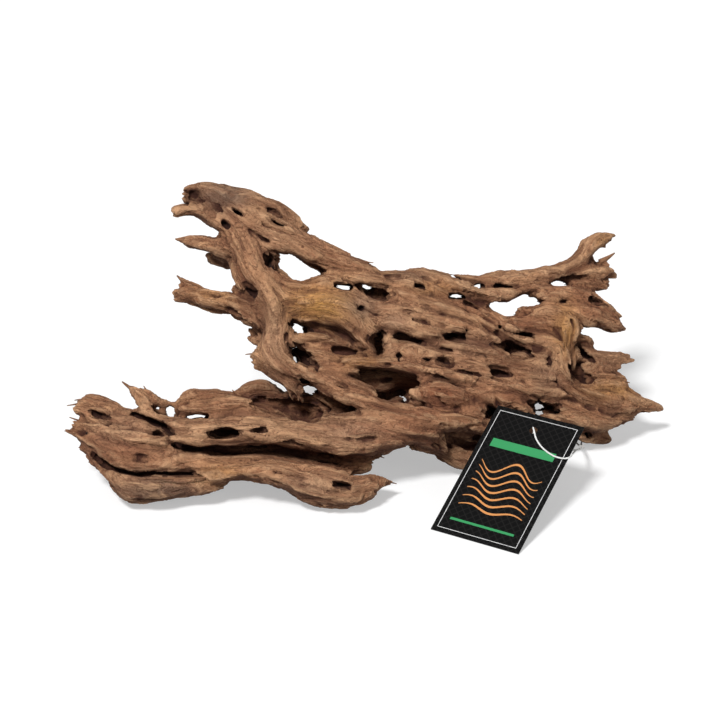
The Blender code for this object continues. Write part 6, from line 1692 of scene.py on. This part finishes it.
def loop_path():
    """The points that the loop follows, from the punched hole and back to it."""
    along, up_face, out = tag_axes()
    corner = Vector((*TAG_FOOT_MM, 0.0))
    path = []
    for across, up, off in LOOP_ON_CARD:
        path.append((corner + along * across + up_face * up + out * off) * MM + SHIFT)
    path += [seen_at(*station) for station in LOOP_TO_WOOD]
    curve = closed_curve(path, lambda start, end: max(2, round((end - start).length / LOOP_STEP)))
    return [Vector(point) for point in curve]


def build_tag_loop(tag):
    """The loop: a thin covered elastic that closes on itself."""
    points = loop_path()
    mesh = bmesh.new()
    rings = []
    side_on = None
    for index, point in enumerate(points):
        along = (points[(index + 1) % len(points)] - points[index - 1]).normalized()
        if side_on is None:
            side_on = along.orthogonal()
        side_on = (side_on - along * side_on.dot(along)).normalized()
        other_side = along.cross(side_on)
        ring = []
        for side in range(LOOP_SIDES):
            angle = 2.0 * math.pi * side / LOOP_SIDES
            offset = side_on * math.cos(angle) + other_side * math.sin(angle)
            ring.append(mesh.verts.new(point + offset * LOOP_DIAMETER / 2.0))
        rings.append(ring)
    # The first ring closes the loop, turned so that it meets the last one without a twist.
    first = rings[0]
    last = rings[-1][0].co
    turn = min(range(LOOP_SIDES), key=lambda side: (first[side].co - last).length)
    rings.append(first[turn:] + first[:turn])
    bridge(mesh, rings)
    loop = new_object("hang_tag_loop", mesh, loop_material(tag))
    loop.data.shade_smooth()
    closed = points + points[:1]
    length = sum((b - a).length for a, b in zip(closed, closed[1:]))
    return loop, [tuple(point) for point in closed], length


def loop_material(tag):
    """White woven cover of an elastic cord."""
    finish = Finish("tag_loop")
    weave = finish.put("ShaderNodeTexVoronoi", {"Vector": finish.places(), "Scale": 2600.0})
    weave = weave.outputs["Distance"]
    worn = [value * 0.75 for value in tag.loop]
    share = finish.stretched(weave, 0.2, 0.8, 0.0, 0.4)
    finish.give("Base Color", finish.mixed(share, tag.loop, worn))
    finish.give("Normal", finish.bumped(weave, 0.5, 0.0001))
    finish.give("Roughness", 0.7)
    return finish.material


def add_sun(name, light, strength):
    """A soft light that falls everywhere in one direction."""
    heading, spread = light
    sun = bpy.data.lights.new(name, "SUN")
    sun.energy = strength
    sun.angle = spread
    add_to_scene(name, sun).rotation_euler = Vector(heading).to_track_quat("-Z", "Y").to_euler()


def build_floor(stage):
    """The pale paper floor. Its glow is for the viewer alone and doesn't light the wood."""
    bpy.ops.object.select_all(action="DESELECT")
    bpy.ops.mesh.primitive_plane_add(size=stage.floor_size, location=(0.0, 0.0, FLOOR_HEIGHT))
    floor = bpy.context.object
    floor.name = "studio_floor"
    finish = Finish("studio_floor")
    viewer = finish.put("ShaderNodeLightPath").outputs["Is Camera Ray"]
    finish.give("Base Color", stage.floor)
    finish.give("Roughness", 0.9)
    finish.give("Emission Color", WHITE)
    finish.give("Emission Strength", finish.computed("MULTIPLY", viewer, stage.floor_glow))
    finish.give("Specular IOR Level", 0.0)
    floor.data.materials.append(finish.material)


def build_surroundings(stage):
    """Even light from all around, which the viewer sees as plain white."""
    world = bpy.data.worlds.new("studio")
    world.use_nodes = True
    shading = Shading(world.node_tree)
    background = world.node_tree.nodes["Background"]
    shading.feed(background.inputs["Color"], WHITE)
    shading.feed(background.inputs["Strength"], stage.sky)
    chooser = shading.put("ShaderNodeMixShader", {
        0: shading.put("ShaderNodeLightPath").outputs["Is Camera Ray"],
        1: background.outputs[0],
        2: shading.put("ShaderNodeBackground", {"Color": WHITE}).outputs[0],
    })
    shading.feed(world.node_tree.nodes["World Output"].inputs["Surface"], chooser.outputs[0])
    bpy.context.scene.world = world
    bpy.context.scene.view_settings.view_transform = "Standard"


def build_stage(stage):
    """The pale floor, the soft light and the camera at the photo's angle."""
    build_floor(stage)
    add_sun("key_light", KEY_LIGHT, stage.key_power)
    add_sun("fill_light", FILL_LIGHT, stage.fill_power)
    build_surroundings(stage)
    lens = bpy.data.cameras.new("camera")
    lens.lens = stage.focal_length
    lens.sensor_width = SENSOR_WIDTH
    camera = add_to_scene("camera", lens)
    centre_x, centre_h = PICTURE_CENTRE_MM
    eye = RIGHT * (centre_x * MM) + UP * (centre_h * MM) - AWAY * (VIEW_DISTANCE_MM * MM) + SHIFT
    camera.location = eye
    camera.rotation_euler = AWAY.to_track_quat("-Z", "Y").to_euler()
    bpy.context.scene.camera = camera


class DRAGONWOOD_OT_wood(Operator):
    """Model the wood and its splinters"""

    bl_idname = "dragonwood.wood"
    bl_label = "Wood"

    def execute(self, context):
        wood = build_wood(context.scene.dragon_wood)
        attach(wood, BODY)
        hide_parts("wood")
        splinters = build_splinters(wood.data.materials[0])
        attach(splinters, BODY)
        return {"FINISHED"}


class DRAGONWOOD_OT_tag(Operator):
    """Model the hang tag's card and its print"""

    bl_idname = "dragonwood.tag"
    bl_label = "Hang Tag"

    def execute(self, context):
        tag = context.scene.dragon_wood_tag
        card = build_tag_card(tag)
        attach(card, BODY)
        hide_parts("tag_card")
        for piece in build_tag_print(tag):
            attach(piece, BODY)
        return {"FINISHED"}


class DRAGONWOOD_OT_loop(Operator):
    """Model the elastic loop that ties the tag to the wood"""

    bl_idname = "dragonwood.loop"
    bl_label = "Loop"

    def execute(self, context):
        loop, path, length = build_tag_loop(context.scene.dragon_wood_tag)
        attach(loop, BODY)
        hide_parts("tag_loop")
        return {"FINISHED"}


class DRAGONWOOD_OT_stage(Operator):
    """Set up the pale floor, the soft light and the camera"""

    bl_idname = "dragonwood.stage"
    bl_label = "Studio"

    def execute(self, context):
        build_stage(context.scene.dragon_wood_stage)
        return {"FINISHED"}


class DRAGONWOOD_PT_sidebar(Panel):
    """Lists the parts of the dragon wood and their settings"""

    bl_label = "Dragon Wood"
    bl_idname = "DRAGONWOOD_PT_sidebar"
    bl_space_type = "VIEW_3D"
    bl_region_type = "UI"
    bl_category = "Dragon Wood"

    def draw(self, context):
        scene = context.scene
        groups = ((scene.dragon_wood, ("dragonwood.wood",)),
                  (scene.dragon_wood_tag, ("dragonwood.tag", "dragonwood.loop")),
                  (scene.dragon_wood_stage, ("dragonwood.stage",)))
        for settings, operators in groups:
            box = self.layout.box()
            for name in settings.bl_rna.properties.keys():
                if name not in ("rna_type", "name"):
                    box.prop(settings, name)
            for operator in operators:
                box.operator(operator)


CLASSES = (
    DragonWoodSettings,
    DragonWoodTagSettings,
    DragonWoodStageSettings,
    DRAGONWOOD_OT_wood,
    DRAGONWOOD_OT_tag,
    DRAGONWOOD_OT_loop,
    DRAGONWOOD_OT_stage,
    DRAGONWOOD_PT_sidebar,
)


def register():
    """Add the settings, the operators and the panel."""
    for cls in CLASSES:
        bpy.utils.register_class(cls)
    bpy.types.Scene.dragon_wood = PointerProperty(type=DragonWoodSettings)
    bpy.types.Scene.dragon_wood_tag = PointerProperty(type=DragonWoodTagSettings)
    bpy.types.Scene.dragon_wood_stage = PointerProperty(type=DragonWoodStageSettings)


def unregister():
    """Take them away again."""
    del bpy.types.Scene.dragon_wood_stage
    del bpy.types.Scene.dragon_wood_tag
    del bpy.types.Scene.dragon_wood
    for cls in reversed(CLASSES):
        bpy.utils.unregister_class(cls)


def main():
    """Build everything."""
    register()
    bpy.ops.dragonwood.stage()
    bpy.ops.dragonwood.loop()
    bpy.ops.dragonwood.tag()
    bpy.ops.dragonwood.wood()


if __name__ == "__main__":
    main()
